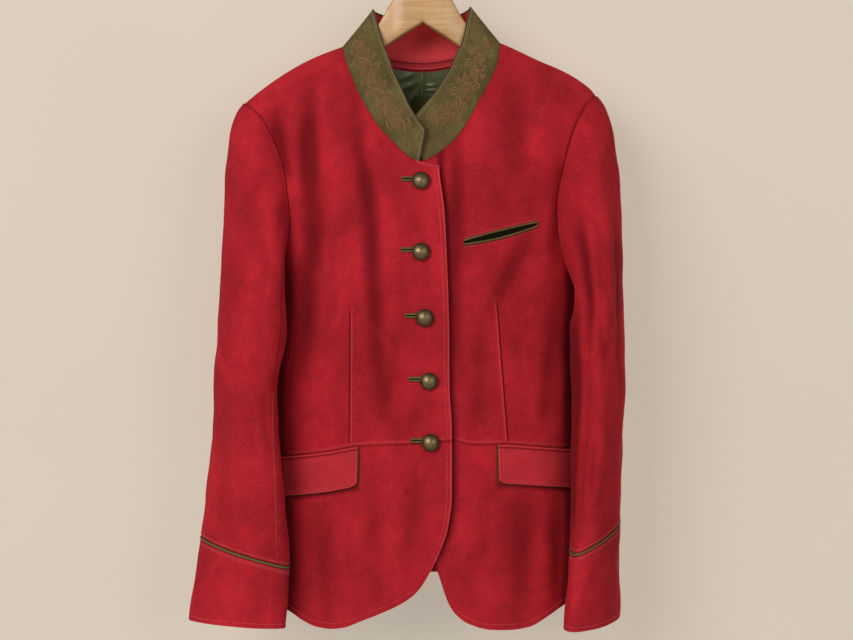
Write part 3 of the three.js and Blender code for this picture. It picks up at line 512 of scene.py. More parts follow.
# The neck seam: 0 to 7 up the right front, on to 11 round the back and to 18 down the left front.
NECK = table("t x z", [
    (0, 18.4, -303.5), (1, -5, -297.5), (2, -16, -292), (3, -32.8, -275.5), (4, -58.2, -243.5),
    (5, -76.1, -209), (6, -89.5, -176), (7, -95, -155), (8, -50, -163), (9, -1, -168), (10, 50, -161),
    (11, 91, -150.5), (12, 87.5, -172), (13, 79.3, -196), (14, 64.1, -224.5), (15, 49.1, -254),
    (16, 25.1, -282), (17, 0, -296.5), (18, -22, -300),
])
# The armholes, from the shoulder tip to the underarm: degrees round the body and height, front and back.
ARMHOLES = {
    "right": table("t front frontZ back backZ", [
        (0, 64.4, -223, 64.4, -223), (1, 58.1, -234, 61, -240), (2, 52.8, -257, 57.5, -270),
        (3, 50.9, -316, 55, -318), (4, 51.6, -359, 55.5, -362), (5, 56.6, -395, 61, -400),
        (6, 67.1, -424, 72, -427), (7, 90, UNDERARM, 90, UNDERARM),
    ]),
    "left": table("t front frontZ back backZ", [
        (0, 64.3, -214.5, 64.3, -214.5), (1, 57.3, -228, 60.5, -232), (2, 54.6, -244, 57.5, -262),
        (3, 52.5, -282, 55, -315), (4, 53.6, -332, 55.5, -362), (5, 58.5, -380, 61, -400),
        (6, 69, -422, 72, -427), (7, 90, UNDERARM, 90, UNDERARM),
    ]),
}
# The waist seam, the front edges and the hems by x and z.
WAIST = table("x z", [
    (-180, -639), (-160, -637), (-110, -630), (-72, -623), (0, -619), (33, -616.5), (60, -621), (85, -621),
    (145, -626), (180, -630),
])
FRONT_EDGES = {
    "right": table("z x", [
        (-798, -19), (-786, -5), (-764, 9), (-739, 20.5), (-717, 28), (-679, 32.7), (-610, 32.8),
        (-555, 30.1), (-488, 29.4), (-407, 26.7), (-356, 24.1), (-303.5, 18.4),
    ]),
    "left": table("z x", [
        (-804.5, 30.8), (-796, 27), (-764, 16), (-739, 4), (-717, -8), (-679, -16), (-610, -18),
        (-488, -20), (-356, -22), (-300, -22),
    ]),
}
HEMS = {
    "right": table("x z", [
        (-191, -797), (-178, -804), (-165, -811), (-150, -818), (-138, -825), (-122, -831), (-106, -832.5),
        (-91, -830.5), (-72, -823), (-45, -811.5), (-19, -798), (-5, -786), (9, -764),
    ]),
    "left": table("x z", [
        (16, -764), (27, -796), (30.8, -804.5), (37, -813.5), (50, -824), (78, -832.5), (102, -833.5),
        (122, -831), (142, -821.5), (160, -811.5), (178, -803), (192, -796),
    ]),
}


def waist_height(turn):
    """Height of the waist seam, by the turn round the body."""
    return WAIST("z", BODY("half", WAIST_LEVEL) * np.sin(turn))


def neck_place(t):
    """Place on the neck seam."""
    return place_of(NECK("x", t), NECK("z", t))


def armhole_place(side, face, t):
    """Place on the front or back edge of an armhole; t runs 0..7 from shoulder to underarm."""
    column = "front" if face < 0 else "back"
    turn = np.radians(ARMHOLES[side](column, t)) * (-1 if side == "right" else 1)
    return place_at(turn, ARMHOLES[side](column + "Z", t))


# Where the rows of the fronts lie, closer together near the shoulder; then, for each front, its stations on
# the neck seam, the foot of its edge, the start of its hem, the foot of its side seam and its top corner.
FRONT_ROWS = [0, 0.035, 0.08, 0.14, 0.21, 0.28, 0.35, 0.42, 0.48, 0.54, 0.6, 0.68, 0.76, 0.84, 0.92, 1]
FRONTS = {
    "right": {"sign": -1, "neck": (0, 7), "foot": -786, "hem": -5, "side": -797, "corner": -303.5},
    "left": {"sign": 1, "neck": (18, 11), "foot": -796, "hem": 27, "side": -796, "corner": -300},
}
# The bust darts: x and z of the top and of the foot.
DARTS = {"right": (-82.6, -463, -84, -619), "left": (84, -450, 97.6, -617)}
EDGE_STITCH = 5.5


def pressed_dart(side, x, z):
    """A dart is a narrow fold pressed to one side: its relief, its ridge painted pale as wear and as
    painted highlight, and its line of painted shade.
    """
    x0, z0, x1, z1 = DARTS[side]
    t = np.clip((z - z0) / (z1 - z0), 0, 1)
    off = (x - mix(x0, x1, t)) * (1 if side == "right" else -1)
    live = ramp(z0 + 4, z0 - 16, z) * ramp(z1 - 4, z1 + 2, z)
    rise = live * (1.3 * near(off, 1.9, 1.5) - 1.3 * near(off, -0.3, 0.9))
    return rise, 0.5 * live * near(off, 1.7, 1.2), 0.95 * live * near(off, -0.4, 0.9)


# Where the inner edge of each sleeve hangs over the front; the suede beside it lies in its shade.
BESIDE_SLEEVE = {
    "right": table("z x", [
        (-811, -155), (-764, -152), (-728, -154), (-682, -158), (-599, -166), (-559, -166), (-473, -155),
        (-404, -157), (-359, -153),
    ]),
    "left": table("z x", [
        (-800, 164), (-737, 168), (-662, 170), (-594, 170), (-479, 169), (-456, 173), (-436, 171),
    ]),
}
# The pocket flaps of the skirts: degrees round the body where each begins and ends, and its height.  They
# start 1 mm under the waist seam.
FLAP_SEAM = 1
FLAPS = {"right": (-24, -79, 46.5), "left": (28, 81, 45.5)}
for side, front in FRONTS.items():
    lapping = side == "right"
    seam = math.radians(90) * front["sign"]
    edge = lambda z: place_of(FRONT_EDGES[side]("x", z), z)
    waist_x = float(FRONT_EDGES[side]("x", -617))
    waist_z = float(WAIST("z", waist_x))
    waist_side = float(WAIST("z", front["sign"] * 180))

    def waist(gap):
        def line(u):
            turn = mix(place_of(waist_x, waist_z)[0], seam, u)
            return place_at(turn, waist_height(turn) + gap)

        return line

    start, end = front["neck"]
    tip = float(armhole_place(side, -1, 0)[0])
    neck_turn = float(neck_place(end)[0])
    neck_edge = lambda t: neck_place(mix(start, end, t))
    shoulder = lambda t: np.stack([mix(neck_turn, tip, t), 0 * t], axis=-1)
    armhole = lambda t: armhole_place(side, -1, 7 * t)
    seam_line = lambda z: place_at(0 * z + seam, z)
    rows = np.interp(np.linspace(0, 15, 121), np.arange(16), FRONT_ROWS)
    foot_rows = 1 - 0.03 * np.linspace(0, 1, 8) ** 1.2
    rows = np.unique(np.round(np.concatenate([rows, foot_rows]), 5))
    # Closer columns where the dart and the fold beside it need them.
    across = np.sort(np.concatenate([fine_steps(84, ["first", "last"]), np.linspace(0.3502, 0.4302, 40)]))
    upper = between(
        joined(neck_edge, 0.7, shoulder),
        waist(TOUCH / 2),
        lambda v: edge(mix(front["corner"], waist_z + TOUCH / 2, v)),
        joined(armhole, 0.6, lambda t: seam_line(mix(UNDERARM, waist_side + TOUCH / 2, t))),
        across,
        rows,
    )

    def hem(u):
        turn = mix(place_of(front["hem"], front["foot"])[0], seam, u)
        x = BODY("middle", HEM_LEVEL) + BODY("half", HEM_LEVEL) * np.sin(turn)
        return place_at(turn, np.where(u > 0.999, front["side"], HEMS[side]("z", x)))

    lower = between(
        waist(-TOUCH / 2),
        hem,
        lambda v: edge(mix(waist_z - TOUCH / 2, front["foot"], v)),
        lambda v: seam_line(mix(waist_side - TOUCH / 2, front["side"], v)),
        fine_steps(88, ["first", "last"]),
        fine_steps(60, ["first", "last"], 0.06),
    )
    for part, places in (("front", upper), ("skirt", lower)):
        p, n = cloth(-1, places, lapping)
        top, foot, first, last = edge_distance(p)
        x, z = p[..., 0], p[..., 2]
        rise = -0.45 * near(first, 0, 1.2) - 0.35 * near(first, EDGE_STITCH, 0.9) - 1.3 * near(last, 0, 1.8)
        # The front edge, the dart's ridge, the waist seam, the lapping top edge and the hem are painted pale,
        # as wear and as painted highlight.
        wear_and_highlight = [0.85 * near(first, 0.4, 1.3)]
        # Painted shade darkens the troughs of the folds, the side seam, the neck and waist seams, the dart
        # and the suede beside the hanging sleeve.
        beside = front["sign"] * (BESIDE_SLEEVE[side]("x", z) - x)
        dark = [
            np.clip(-fold_at(FRONT_FOLDS, x, z) / 5.6, 0, 0.85),
            0.85 * near(last, 0, 2.4),
            0.9 * ramp(9, 1, beside) * ramp(-380, UNDERARM, z),
        ]
        if part == "front":
            on_neck, on_shoulder = across < 0.7, across > 0.7
            dart, dart_wear_and_highlight, dart_dark = pressed_dart(side, x, z)
            rise += dart + 0.5 * near(foot, 3.2, 1.6) - 1.3 * near(foot, 0, 1.5)
            rise -= 0.9 * near(top, 0, 1.4) * on_shoulder
            wear_and_highlight += [dart_wear_and_highlight, 0.55 * near(foot, 2.2, 1.1)]
            dark += [dart_dark, 0.55 * near(top, 0, 2.6) * on_neck]
            if lapping:
                wear_and_highlight.append(0.95 * near(top, 0.8, 1.7) * (across < 0.13))
        else:
            rise -= 1.2 * near(top, 0, 1.4) + 0.4 * near(foot, 0, 1.2) + 0.35 * near(foot, EDGE_STITCH + 1, 0.9)
            wear_and_highlight.append(0.6 * near(foot, 0, 0.9))
            # The flap throws a thin shadow below its foot.
            least, most = sorted(FLAPS[side][:2])
            turn = np.degrees(places[..., 0])
            below = waist_height(places[..., 0]) - FLAP_SEAM - FLAPS[side][2] - z
            ends = ramp(least - 2, least + 1, turn) * ramp(most + 2, most - 1, turn)
            dark += [0.8 * near(top, 0, 1.8), 0.9 * ramp(-8, 0, below) * ramp(7, 1, below) * ends]
        if not lapping:
            # Painted shade darkens the left front beside the edge that laps over it.
            beyond = x - FRONT_EDGES["right"]("x", z)
            dark.append(ramp(-3, 0, beyond) * ramp(11, 2, beyond))
        piece = shell(
            f"{part}_{side}_suede", p, n, rise, -SUEDE, red_suede,
            edge=np.maximum.reduce(wear_and_highlight), hollow=np.maximum.reduce(dark),
        )
        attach(piece, "root")
        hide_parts(f"{part}_{side}")

# ---------------------------------------------------------------- the back
# The back is one skin from shoulder to hem, joined to the fronts at the shoulders and sides.
BACK_ROWS = [
    0, 0.011, 0.035, 0.07, 0.115, 0.165, 0.22, 0.275, 0.33, 0.38, 0.43, 0.5, 0.57, 0.64, 0.71, 0.78, 0.85,
    0.925, 1,
]
BACK_HEM = table("turn z", [(-90, -797), (-40, -791), (0, -789), (40, -791), (90, -796)])


def back_top(u):
    """The back's top edge: right shoulder, neck and left shoulder."""
    right = float(armhole_place("right", 1, 0)[0])
    left = float(armhole_place("left", 1, 0)[0])
    start, end = float(neck_place(7)[0]), float(neck_place(11)[0])
    level = lambda turn: np.stack([turn, 0 * turn], axis=-1)
    neck = neck_place(mix(7, 11, np.clip((u - 0.3) / 0.4, 0, 1)))
    inner = np.where((u > 0.7)[..., None], level(mix(end, left, np.clip((u - 0.7) / 0.3, 0, 1))), neck)
    return np.where((u < 0.3)[..., None], level(mix(start, right, np.clip(1 - u / 0.3, 0, 1))), inner)


def back_side(side):
    """A side edge of the back: armhole, then side seam."""
    seam = math.radians(-90 if side == "right" else 90)
    foot = float(BACK_HEM("z", -90 if side == "right" else 90))
    line = lambda t: place_at(0 * t + seam, mix(UNDERARM, foot, t))
    return joined(lambda t: armhole_place(side, 1, 7 * t), 0.43, line)


def back_hem(u):
    turn = mix(-90, 90, u)
    return place_at(np.radians(turn), BACK_HEM("z", turn))


def back_places(across, rows):
    return between(back_top, back_hem, back_side("right"), back_side("left"), across, rows)


rows = np.interp(np.linspace(0, 18, 141), np.arange(19), BACK_ROWS)
p, n = cloth(1, back_places(fine_steps(112, ["first", "last"], 0.02, 6), rows))
top, foot, first, last = edge_distance(p)
rise = -1.2 * near(first, 0, 1.8) - 1.2 * near(last, 0, 1.8)
rise -= 0.4 * near(foot, 0, 1.2) + 0.35 * near(foot, EDGE_STITCH + 1, 1.0)
# Painted shade in the troughs of the folds; the hem is painted pale, as wear and as painted highlight.
hollow = np.clip(-fold_at(BACK_FOLDS, p[..., 0], p[..., 2]) / 9, 0, 0.6)
back = shell("back_suede", p, n, rise, -SUEDE, red_suede, edge=0.6 * near(foot, 0, 0.9), hollow=hollow)
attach(back, "root")
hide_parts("back")

# ---------------------------------------------------------------- back lining
# Olive satin, hung just inside the back.  A centre seam and a few small pleats tacked across it
# give it ease; the satin catches long streaks of light along its folds.
LINING = 1.0
# The floats of the satin are drawn 0.9 mm apart, coarser than the real threads, so that they show.
satin = start_material(
    "olive_satin_lining", {"Roughness": 0.3, "Specular IOR Level": 0.7, "Anisotropic": 0.6, "Sheen Weight": 0.1}
)
floats = noise(satin, 0.9, 1, stretched(satin, (1, 1, 0.12)))
finish(satin, blend(satin, noise(satin, 22, 2), "#3B4429", "#6C774A"), relief(satin, 0.25, 0.2, floats))

rows = np.interp(np.concatenate([np.linspace(1, 5, 61), np.linspace(5, 17, 49)[1:]]), np.arange(19), BACK_ROWS)
p, n = cloth(1, back_places(np.linspace(0.05, 0.95, 121), rows))
LINING_INSIDE = SUEDE + SEAM + 0.2
LINING_MIDDLE = -1
x, z = p[..., 0], p[..., 2]
# The pressed seam, the wrinkles of the slack satin and five small tacked pleats beside the seam.
LINING_FOLDS = [
    (-40, -188, -12, -180, 4.2, 3.4), (-42, -203, -10, -190, 4.6, 3.8), (-34, -236, -8, -200, 5.0, 3.6),
    (20, -200, 52, -250, 7.0, 3.0), (-70, -300, -60, -560, 9.0, 3.0), (60, -320, 66, -600, 9.0, 3.0),
    (-20, -420, -26, -700, 8.0, 2.5),
]
slack = 1.6 * near(x, LINING_MIDDLE, 0.9) - 1.2 * near(x, 1.6, 1.0) + fold_at(LINING_FOLDS, x, z, 1.0, 0.1)
for tack in range(5):
    slack += 1.5 * near(z, -193 - 6.4 * tack, 1.2) * ramp(2, 4, x) * ramp(20, 12, x)
slack += 0.3 * undulation(x, z) + 0.3
lining = shell("back_lining_satin", p, n, -LINING_INSIDE, -(LINING_INSIDE + LINING + slack), satin)
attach(lining, "root")
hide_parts("back_lining")

# ---------------------------------------------------------------- back neck facing
# A strip of the red suede along the back neck, its lower edge turned under and pressed round.
FACING = 1.2
inside = SUEDE + SEAM
p, n = cloth(1, back_places(np.linspace(0.35, 0.65, 91), np.linspace(0, 0.0082, 9)))
down = edge_distance(p)[0]
deep = down[-1:] - down
roll = 0.5 * near(deep, 0.8, 1.0) - 0.3 * near(deep, 2.6, 0.8)
# The facing is painted paler all over as painted light in the shaded neck, paler still along its rolled edge as
# painted highlight, and painted shade lies along its top.
facing = shell(
    "neck_facing_suede", p, n, -inside, -(inside + FACING + roll), red_suede,
    edge=0.5 + 0.4 * near(deep, 0.8, 0.9), hollow=0.8 * near(down, 0, 1.2),
)
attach(facing, "root")
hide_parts("neck_facing")

# ---------------------------------------------------------------- stand collar
# A shaped stand of olive suede faced with red, stitched close to its top edge; it stands round the
# neck seam, and its right end laps over the left.  Its soft bow fades out at the shoulders and ends.
COLLAR_STITCH = 3.2
# The collar's top edge; t runs as on the neck seam.
COLLAR = table("t x y z", [
    (1, 1.4, -64, -262), (2, -6, -60, -251), (3, -15, -50, -235), (4, -29, -40, -205),
    (5, -39, -29, -180.5), (6, -50, -14.5, -147), (7, -61, 4, -111), (8, -46, 33, -114), (9, -1, 44, -119),
    (10, 46, 33, -112), (11, 58, 4, -108), (12, 47, -14, -152.5), (13, 39, -24.5, -171.5),
    (14, 29, -34, -194), (15, 16, -43, -215), (16, 1, -50, -234), (17, -12.5, -54, -251),
])
olive_suede = suede("olive_goat_suede", "#645834", "#322815", "#8D8056", patch=34, nap=0.42)


def collar_point(t, v):
    """Point of the collar's outer face: t runs along the neck seam, v from the seam to the top edge."""
    at = neck_place(t)
    front, front_n = cloth(-1, at)
    lapped, lapped_n = cloth(-1, at, True)
    behind, behind_n = cloth(1, at)
    pick = lambda a, b, c: np.where(((t > 7) & (t < 11))[..., None], c, np.where((t < 6)[..., None], b, a))
    seat = pick(front, lapped, behind) + SEAM * pick(front_n, lapped_n, behind_n)
    seat[..., 1] += 3.2 * ramp(14.5, 16.5, t)
    edge = np.stack([COLLAR("x", t), COLLAR("y", t), COLLAR("z", t)], axis=-1)
    p = mix(seat, edge, v[..., None])
    away = unit(np.stack([p[..., 0], p[..., 1] + 4, 0 * t], axis=-1))
    bow = 3.5 * np.sin(math.pi * np.clip(v, 0, 1)) * ramp(1, 3, t) * ramp(17, 15, t)
    bow *= 1 - 1.15 * near(t, 6.8, 1.1) - 1.15 * near(t, 11.2, 1.1)
    soft = 0.5 * np.sin(t * 4.1 + 2.2 * v) * v * ramp(1, 2, t) * ramp(17, 16, t)
    return p + away * (bow + soft)[..., None]


def grid_normals(p, outward):
    """Normals of a grid of points, on the side that outward points to."""
    n = unit(np.cross(np.gradient(p, axis=1), np.gradient(p, axis=0)))
    return np.where((np.sum(n * outward, axis=-1) < 0)[..., None], -n, n)


t, v = np.meshgrid(np.linspace(1, 17, 221), mix(-0.03, 1, fine_steps(24, ["first", "last"], 0.12, 8)))
collar_p = collar_point(t, v)
collar_n = grid_normals(collar_p, np.stack([collar_p[..., 0], collar_p[..., 1] - 6, 0 * t], axis=-1))
foot, top, first, last = edge_distance(collar_p)
rise = -0.5 * near(foot, 0, 1.3) - 0.35 * near(top, COLLAR_STITCH, 0.9) + 0.3 * near(top, 0.8, 1.2)
rise -= 0.35 * near(first, COLLAR_STITCH, 0.9) + 0.35 * near(last, COLLAR_STITCH, 0.9)
# The top edge and the lapping end are painted pale, as wear and as painted highlight; painted shade lies along
# the foot and under the row of stitches.
collar = shell(
    "collar_olive_suede", collar_p, collar_n, rise, -SUEDE, olive_suede,
    edge=np.maximum(0.7 * near(top, 0, 0.8), 0.6 * near(first, 0, 0.8)),
    hollow=np.maximum(0.5 * near(foot, 0, 2.2), 0.6 * near(top, COLLAR_STITCH + 0.6, 0.9)),
)
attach(collar, "root")
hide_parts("collar")

# The facing is painted paler all over as painted light inside the collar, paler still at its top as painted
# highlight, and painted shade lies at its foot.
inner_face = shell(
    "collar_facing_suede", collar_p, collar_n, -inside, -(inside + FACING), red_suede,
    edge=0.75 + 0.2 * near(top, 0, 0.9), hollow=0.3 * near(foot, 0, 3),
)
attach(inner_face, "root")
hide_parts("collar_facing")

# ---------------------------------------------------------------- sleeves
# Two-piece sleeves, an upper and an under skin, set into the armholes and hanging free beside the
# body with a slight bend at the elbow.

# Sections of the sleeves below the elbow: middle, long and short half width, and degrees it is turned.
SLEEVES = {
    "right": table("z x y long short turn", [
        (-832, -212.5, -64, 57, 20, 80), (-758, -206, -60, 57, 21, 72), (-730, -205, -58, 57, 24, 65),
        (-631, -205, -46, 57, 27, 42), (-563, -204.5, -38, 58, 29, 30), (-490, -197, -34, 60, 34, 25),
    ]),
    "left": table("z x y long short turn", [
        (-832, 195.5, -50, 57, 21.5, 32), (-770, 198, -46, 57, 20, 26), (-706, 202, -40, 57, 20.5, 18),
        (-622, 206, -34, 58, 21, 14), (-560, 209, -30, 60, 23.5, 11), (-490, 207, -28, 62, 27, 10),
    ]),
}
# Troughs and ridges: degrees round the sleeve and height of each end, width in degrees, and rise.
SLEEVE_FOLDS = {
    "right": [
        (0, -330, 0, -680, 46, 8.5), (122, -300, 118, -545, 26, 5.0), (35, -250, 60, -470, 16, -1.5),
        (-40, -300, -20, -560, 20, -4), (150, -520, 170, -690, 22, -4), (70, -290, 84, -420, 12, 1.6),
        (95, -360, 60, -500, 11, -1.6), (20, -440, 66, -500, 11, -1.8), (84, -520, 70, -680, 12, -1.7),
        (30, -560, 44, -700, 12, 1.5), (-90, -380, -70, -560, 14, -1.8), (-60, -560, -80, -720, 14, 1.4),
    ],
    "left": [
        (0, -360, 0, -1010, 46, 5.2), (162, -380, 168, -900, 36, 8.5), (168, -290, 168, -760, 30, 5.0),
        (28, -290, 12, -620, 17, -2.6), (92, -300, 120, -560, 13, -5.5), (74, -290, 94, -560, 9, 2.2),
        (30, -320, 30, -720, 9, -3.2), (48, -300, 48, -700, 6, 1.4), (-120, -330, -100, -560, 22, -5),
        (52, -280, 46, -430, 11, 1.8), (100, -420, 70, -540, 11, -1.6), (50, -480, 84, -560, 11, -1.8),
        (64, -560, 58, -700, 11, 1.5), (88, -580, 80, -710, 10, -1.6), (-60, -360, -44, -540, 14, -1.8),
        (-80, -560, -66, -700, 14, 1.4), (-14, -230, -16, -640, 8, -5.0),
    ],
}
# Heights of the elbow and the cuff's foot, and how far the piping reaches above the cuff's seam.
SLEEVE_TOP = -490
CUFF_FOOT = -826
CUFF_TRIM = 3
# The slanting seam above each cuff: its middle height, its rise and where it is highest, in degrees.
CUFF_SEAM = {"right": (-747, 15, -85), "left": (-729, 17, -55)}
# The two seams along the sleeve, and half the gap in them, in degrees.
FRONT_SEAM = 112
BACK_SEAM = 278
SEAM_HALF = 0.18


def clear_of_body(p, gap, down):
    """Keeps the form of a sleeve, before its folds, just clear of the body's side, from a little below
    the armhole."""
    z = p[..., 2]
    deep = np.where(p[..., 1] < 0, BODY("front", z), BODY("back", z)) + gap
    middle = BODY("middle", z)
    size = np.maximum(np.hypot((p[..., 0] - middle) / (BODY("half", z) + gap), p[..., 1] / deep), 0.05)
    share = np.where((size < 1) & (z < -365), ramp(-365, -395, z) * ramp(0.01, 0.12, down), 0)
    x = mix(p[..., 0], middle + (p[..., 0] - middle) / size, share)
    return np.stack([x, mix(p[..., 1], p[..., 1] / size, share), z], axis=-1)


def sleeve_ring(side, psi, z):
    """Point on the oval section of the sleeve at a height."""
    sections = SLEEVES[side]
    sign = -1 if side == "right" else 1
    turn = np.radians(sections("turn", z))
    forward, out = sections("long", z) * np.sin(psi), sections("short", z) * np.cos(psi)
    x = sections("x", z) - sign * np.sin(turn) * forward + sign * np.cos(turn) * out
    y = sections("y", z) - np.cos(turn) * forward - np.sin(turn) * out
    return np.stack([x, y, z], axis=-1)


def sleeve_form(side, psi, down, foot):
    """psi 0 points out, 90 ahead, 180 to the body, 270 back; down 0..1 armhole to elbow, 1..2 to foot."""
    sign = -1 if side == "right" else 1
    round_ = np.degrees(psi) % 360
    ahead = round_ < 180
    t = np.where(ahead, round_, 360 - round_) / 180
    front = cloth(-1, armhole_place(side, -1, 7 * t))[0]
    behind = cloth(1, armhole_place(side, 1, 7 * t))[0]
    across = np.abs(np.sin(psi))
    # The way the sleeve leaves the armhole: outwards, ahead or back, and down.
    downward = mix(-0.45, -0.25, across) - 0.6 * ramp(0.6, 1, t)
    outward = unit(np.stack([sign * mix(0.85, 0.35, across**2), -np.sin(psi) * 0.9, downward], axis=-1))
    start = np.where(ahead[..., None], front, behind) - 0.9 * outward
    end = sleeve_ring(side, psi, np.full_like(t, SLEEVE_TOP))
    reach = np.linalg.norm(start - end, axis=-1)
    pull = outward * mix(110, 70, t)[..., None]
    fall = np.stack([0 * t, 0 * t, -np.minimum(300, 1.1 * reach)], axis=-1)
    s = np.clip(down, 0, 1)[..., None]
    upper = start * (2 * s**3 - 3 * s**2 + 1) + pull * (s**3 - 2 * s**2 + s)
    upper = upper + end * (3 * s**2 - 2 * s**3) + fall * (s**3 - s**2)
    lower = sleeve_ring(side, psi, mix(SLEEVE_TOP, foot, np.maximum(down - 1, 0)))
    return clear_of_body(np.where((down > 1)[..., None], lower, upper), 1.2, down)


def sleeve_fold(side, psi, z):
    """Rise of a sleeve from its folds, in mm."""
    rise = np.zeros_like(z)
    for psi0, z0, psi1, z1, width, height in SLEEVE_FOLDS[side]:
        t = np.clip((z - z0) / (z1 - z0), 0, 1)
        off = (np.degrees(psi) - mix(psi0, psi1, t) + 540) % 360 - 180
        rise += height * near(off, 0, width) * np.sin(math.pi * t) ** 2
    return rise


def sleeve_cloth(side, psi, down, foot):
    """Point of the sleeve's cloth and its outward normal."""
    p = sleeve_form(side, psi, down, foot)
    across = sleeve_form(side, psi + 0.02, down, foot) - sleeve_form(side, psi - 0.02, down, foot)
    low, high = np.maximum(0, down - 0.01), np.minimum(2, down + 0.01)
    along = sleeve_form(side, psi, high, foot) - sleeve_form(side, psi, low, foot)
    n = unit(np.cross(across, along)) * (-1 if side == "right" else 1)
    live = ramp(0.02, 0.3, down)
    soft = 0.75 * undulation(62 * np.radians((np.degrees(psi) + 180) % 360 - 180), p[..., 2]) * live
    return p + n * (sleeve_fold(side, psi, p[..., 2]) * ramp(0.0, 0.16, down) + soft)[..., None], n


def cuff_seam(side, psi):
    """Height of the slanting seam above the cuff."""
    z, rise, high = CUFF_SEAM[side]
    return z + rise * np.cos(psi - math.radians(high))


# Each skin runs from seam to seam round the sleeve, in this many steps.
SKINS = {
    "upper": (BACK_SEAM - 360 + SEAM_HALF, FRONT_SEAM - SEAM_HALF, 76),
    "under": (FRONT_SEAM + SEAM_HALF, BACK_SEAM - SEAM_HALF, 52),
}
# The seams of one sleeve show sharply, those of the other are pressed flat.
SEAM_SHOWS = {"right": 1.0, "left": 0.35}
for side in SLEEVES:
    for part, (begin, end, count) in SKINS.items():
        psi, down = np.meshgrid(
            np.radians(mix(begin, end, fine_steps(count, ["first", "last"], 0.05, 6))),
            np.concatenate([np.linspace(0, 1, 85), 1 + fine_steps(72, ["last"], 0.05, 6)[1:]]),
        )
        p, n = sleeve_cloth(side, psi, down, cuff_seam(side, psi) + CUFF_TRIM + SEAM)
        # The sleeve head goes a little way into the armhole, which closes the seam to the light.
        p[0] -= 2.6 * unit(p[3] - p[0])
        top, foot, first, last = edge_distance(p)
        shows = SEAM_SHOWS[side]
        rise = -0.7 * shows * (near(first, 0, 1.6) + near(last, 0, 1.6)) - 1.0 * near(foot, 0, 1.3)
        rise += 0.9 * near(top, 3.5, 3.0) - 0.5 * near(top, 0, 1.0)
        z, round_ = p[..., 2], np.degrees(psi)
        # Painted shade in the troughs of the folds, along the armhole seam, above the cuff seam and beside the
        # sleeve's seams.
        dark = [
            np.clip(-sleeve_fold(side, psi, z) / 5.5, 0, 0.8),
            0.95 * near(top, 2.6, 1.8),
            0.75 * near(foot, 0, 1.4),
            0.3 * shows * near(first, 0, 1.3),
            0.3 * shows * near(last, 0, 1.3),
        ]
        if side == "left" and part == "under":
            # The side turned to the body lies in its shade, from below the armhole to above the cuff.
            shade = 0.92 * ramp(125, 139, round_) * ramp(225, 195, round_)
            dark.append(shade * ramp(UNDERARM, -500, z) * ramp(-745, -690, z))
        # The foot above the cuff seam is painted pale, as wear and as painted highlight.
        sleeve = shell(
            f"sleeve_{side}_{part}_suede", p, n, rise, -SUEDE, red_suede,
            edge=0.4 * near(foot, 2.4, 1.0), hollow=np.maximum.reduce(dark),
        )
        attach(sleeve, "root")
        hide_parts(f"sleeve_{side}_{part}")

# ---------------------------------------------------------------- cuffs
# A turned band of red suede round each sleeve end, with a strip of olive piping let into the
# slanting seam above it and a row of stitches beside each edge.


def cuff_foot(psi):
    """Height of the sleeve's end, which hangs a little lower ahead."""
    return CUFF_FOOT - 3 * np.sin(psi)


def cuff_cloth(side, psi, z):
    """Point of the lower sleeve or cuff at this height, and its outward normal."""
    foot = cuff_foot(psi)
    return sleeve_cloth(side, psi, 1 + (z - SLEEVE_TOP) / (foot - SLEEVE_TOP), foot)


for side in SLEEVES:
    psi, share = np.meshgrid(
        np.linspace(0, 2 * math.pi, 112, endpoint=False),
        np.clip(fine_steps(30, ["first", "last"], 0.12, 7), 0.001, 1),
    )
    p, n = cuff_cloth(side, psi, mix(cuff_seam(side, psi), cuff_foot(psi), share))
    top, foot = edge_distance(p)[:2]
    rise = 0.4 - 0.7 * near(top, 0, 1.1) - 0.4 * near(top, 4.5, 0.9)
    rise -= 0.4 * near(foot, 5, 0.9) + 0.3 * near(foot, 0, 1)
    # The foot and the band below the seam are painted pale, as wear and as painted highlight; painted shade
    # lies under the piping.
    cuff = shell(
        f"cuff_{side}_suede", p, n, rise, -SUEDE, red_suede, True,
        edge=np.maximum(0.5 * near(foot, 0, 1.0), 0.4 * near(top, 2.2, 1.0)), hollow=0.75 * near(top, 0, 1.3),
    )
    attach(cuff, "root")
    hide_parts(f"cuff_{side}")

    psi, height = np.meshgrid(psi[0], np.linspace(CUFF_TRIM, SEAM, 9))
    p, n = cuff_cloth(side, psi, cuff_seam(side, psi) + height)
    bulge = 0.75 * np.sin(math.pi * np.linspace(0.06, 0.94, 9))[:, None]
    # The crown of the piping is painted pale, as wear and as painted highlight, and its sides dark as painted
    # shade.
    trim = shell(
        f"cuff_piping_{side}", p, n, bulge, -SUEDE, olive_suede, True, edge=0.5 * bulge, hollow=0.85 - bulge
    )
    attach(trim, "root")
    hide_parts(f"cuff_trim_{side}")

# ---------------------------------------------------------------- pocket flaps
# Each flap is red suede backed with olive; a sliver of the backing shows round its edge.  The top
# is sewn into the waist seam with a narrow welt, and the lower corners are rounded.
LAID = 0.6
FLAP_BACKING = 1.0
FLAP_FACE = 3.4


def flap_place(side, u, down):
    """Place on the skirt of a point of the flap: u along it from its front end, down in mm from its top."""
    begin, end, height = FLAPS[side]
    turn = np.radians(mix(begin, end, u))
    return place_at(turn, waist_height(turn) - FLAP_SEAM - down)


def rounded_end(where):
    """How far a quarter round has come up over an end of the flap, 0..1; where is 0 at its start."""
    return 1 - np.sqrt(np.clip(1 - np.clip(where, 0, 1) ** 2, 0, 1))


def flap_swell(p, down):
    """The face of a flap lies fuller towards its foot and waves a little."""
    return 1.3 * ramp(6, 40, down) + 0.35 * np.sin(p[..., 0] / 9.5)


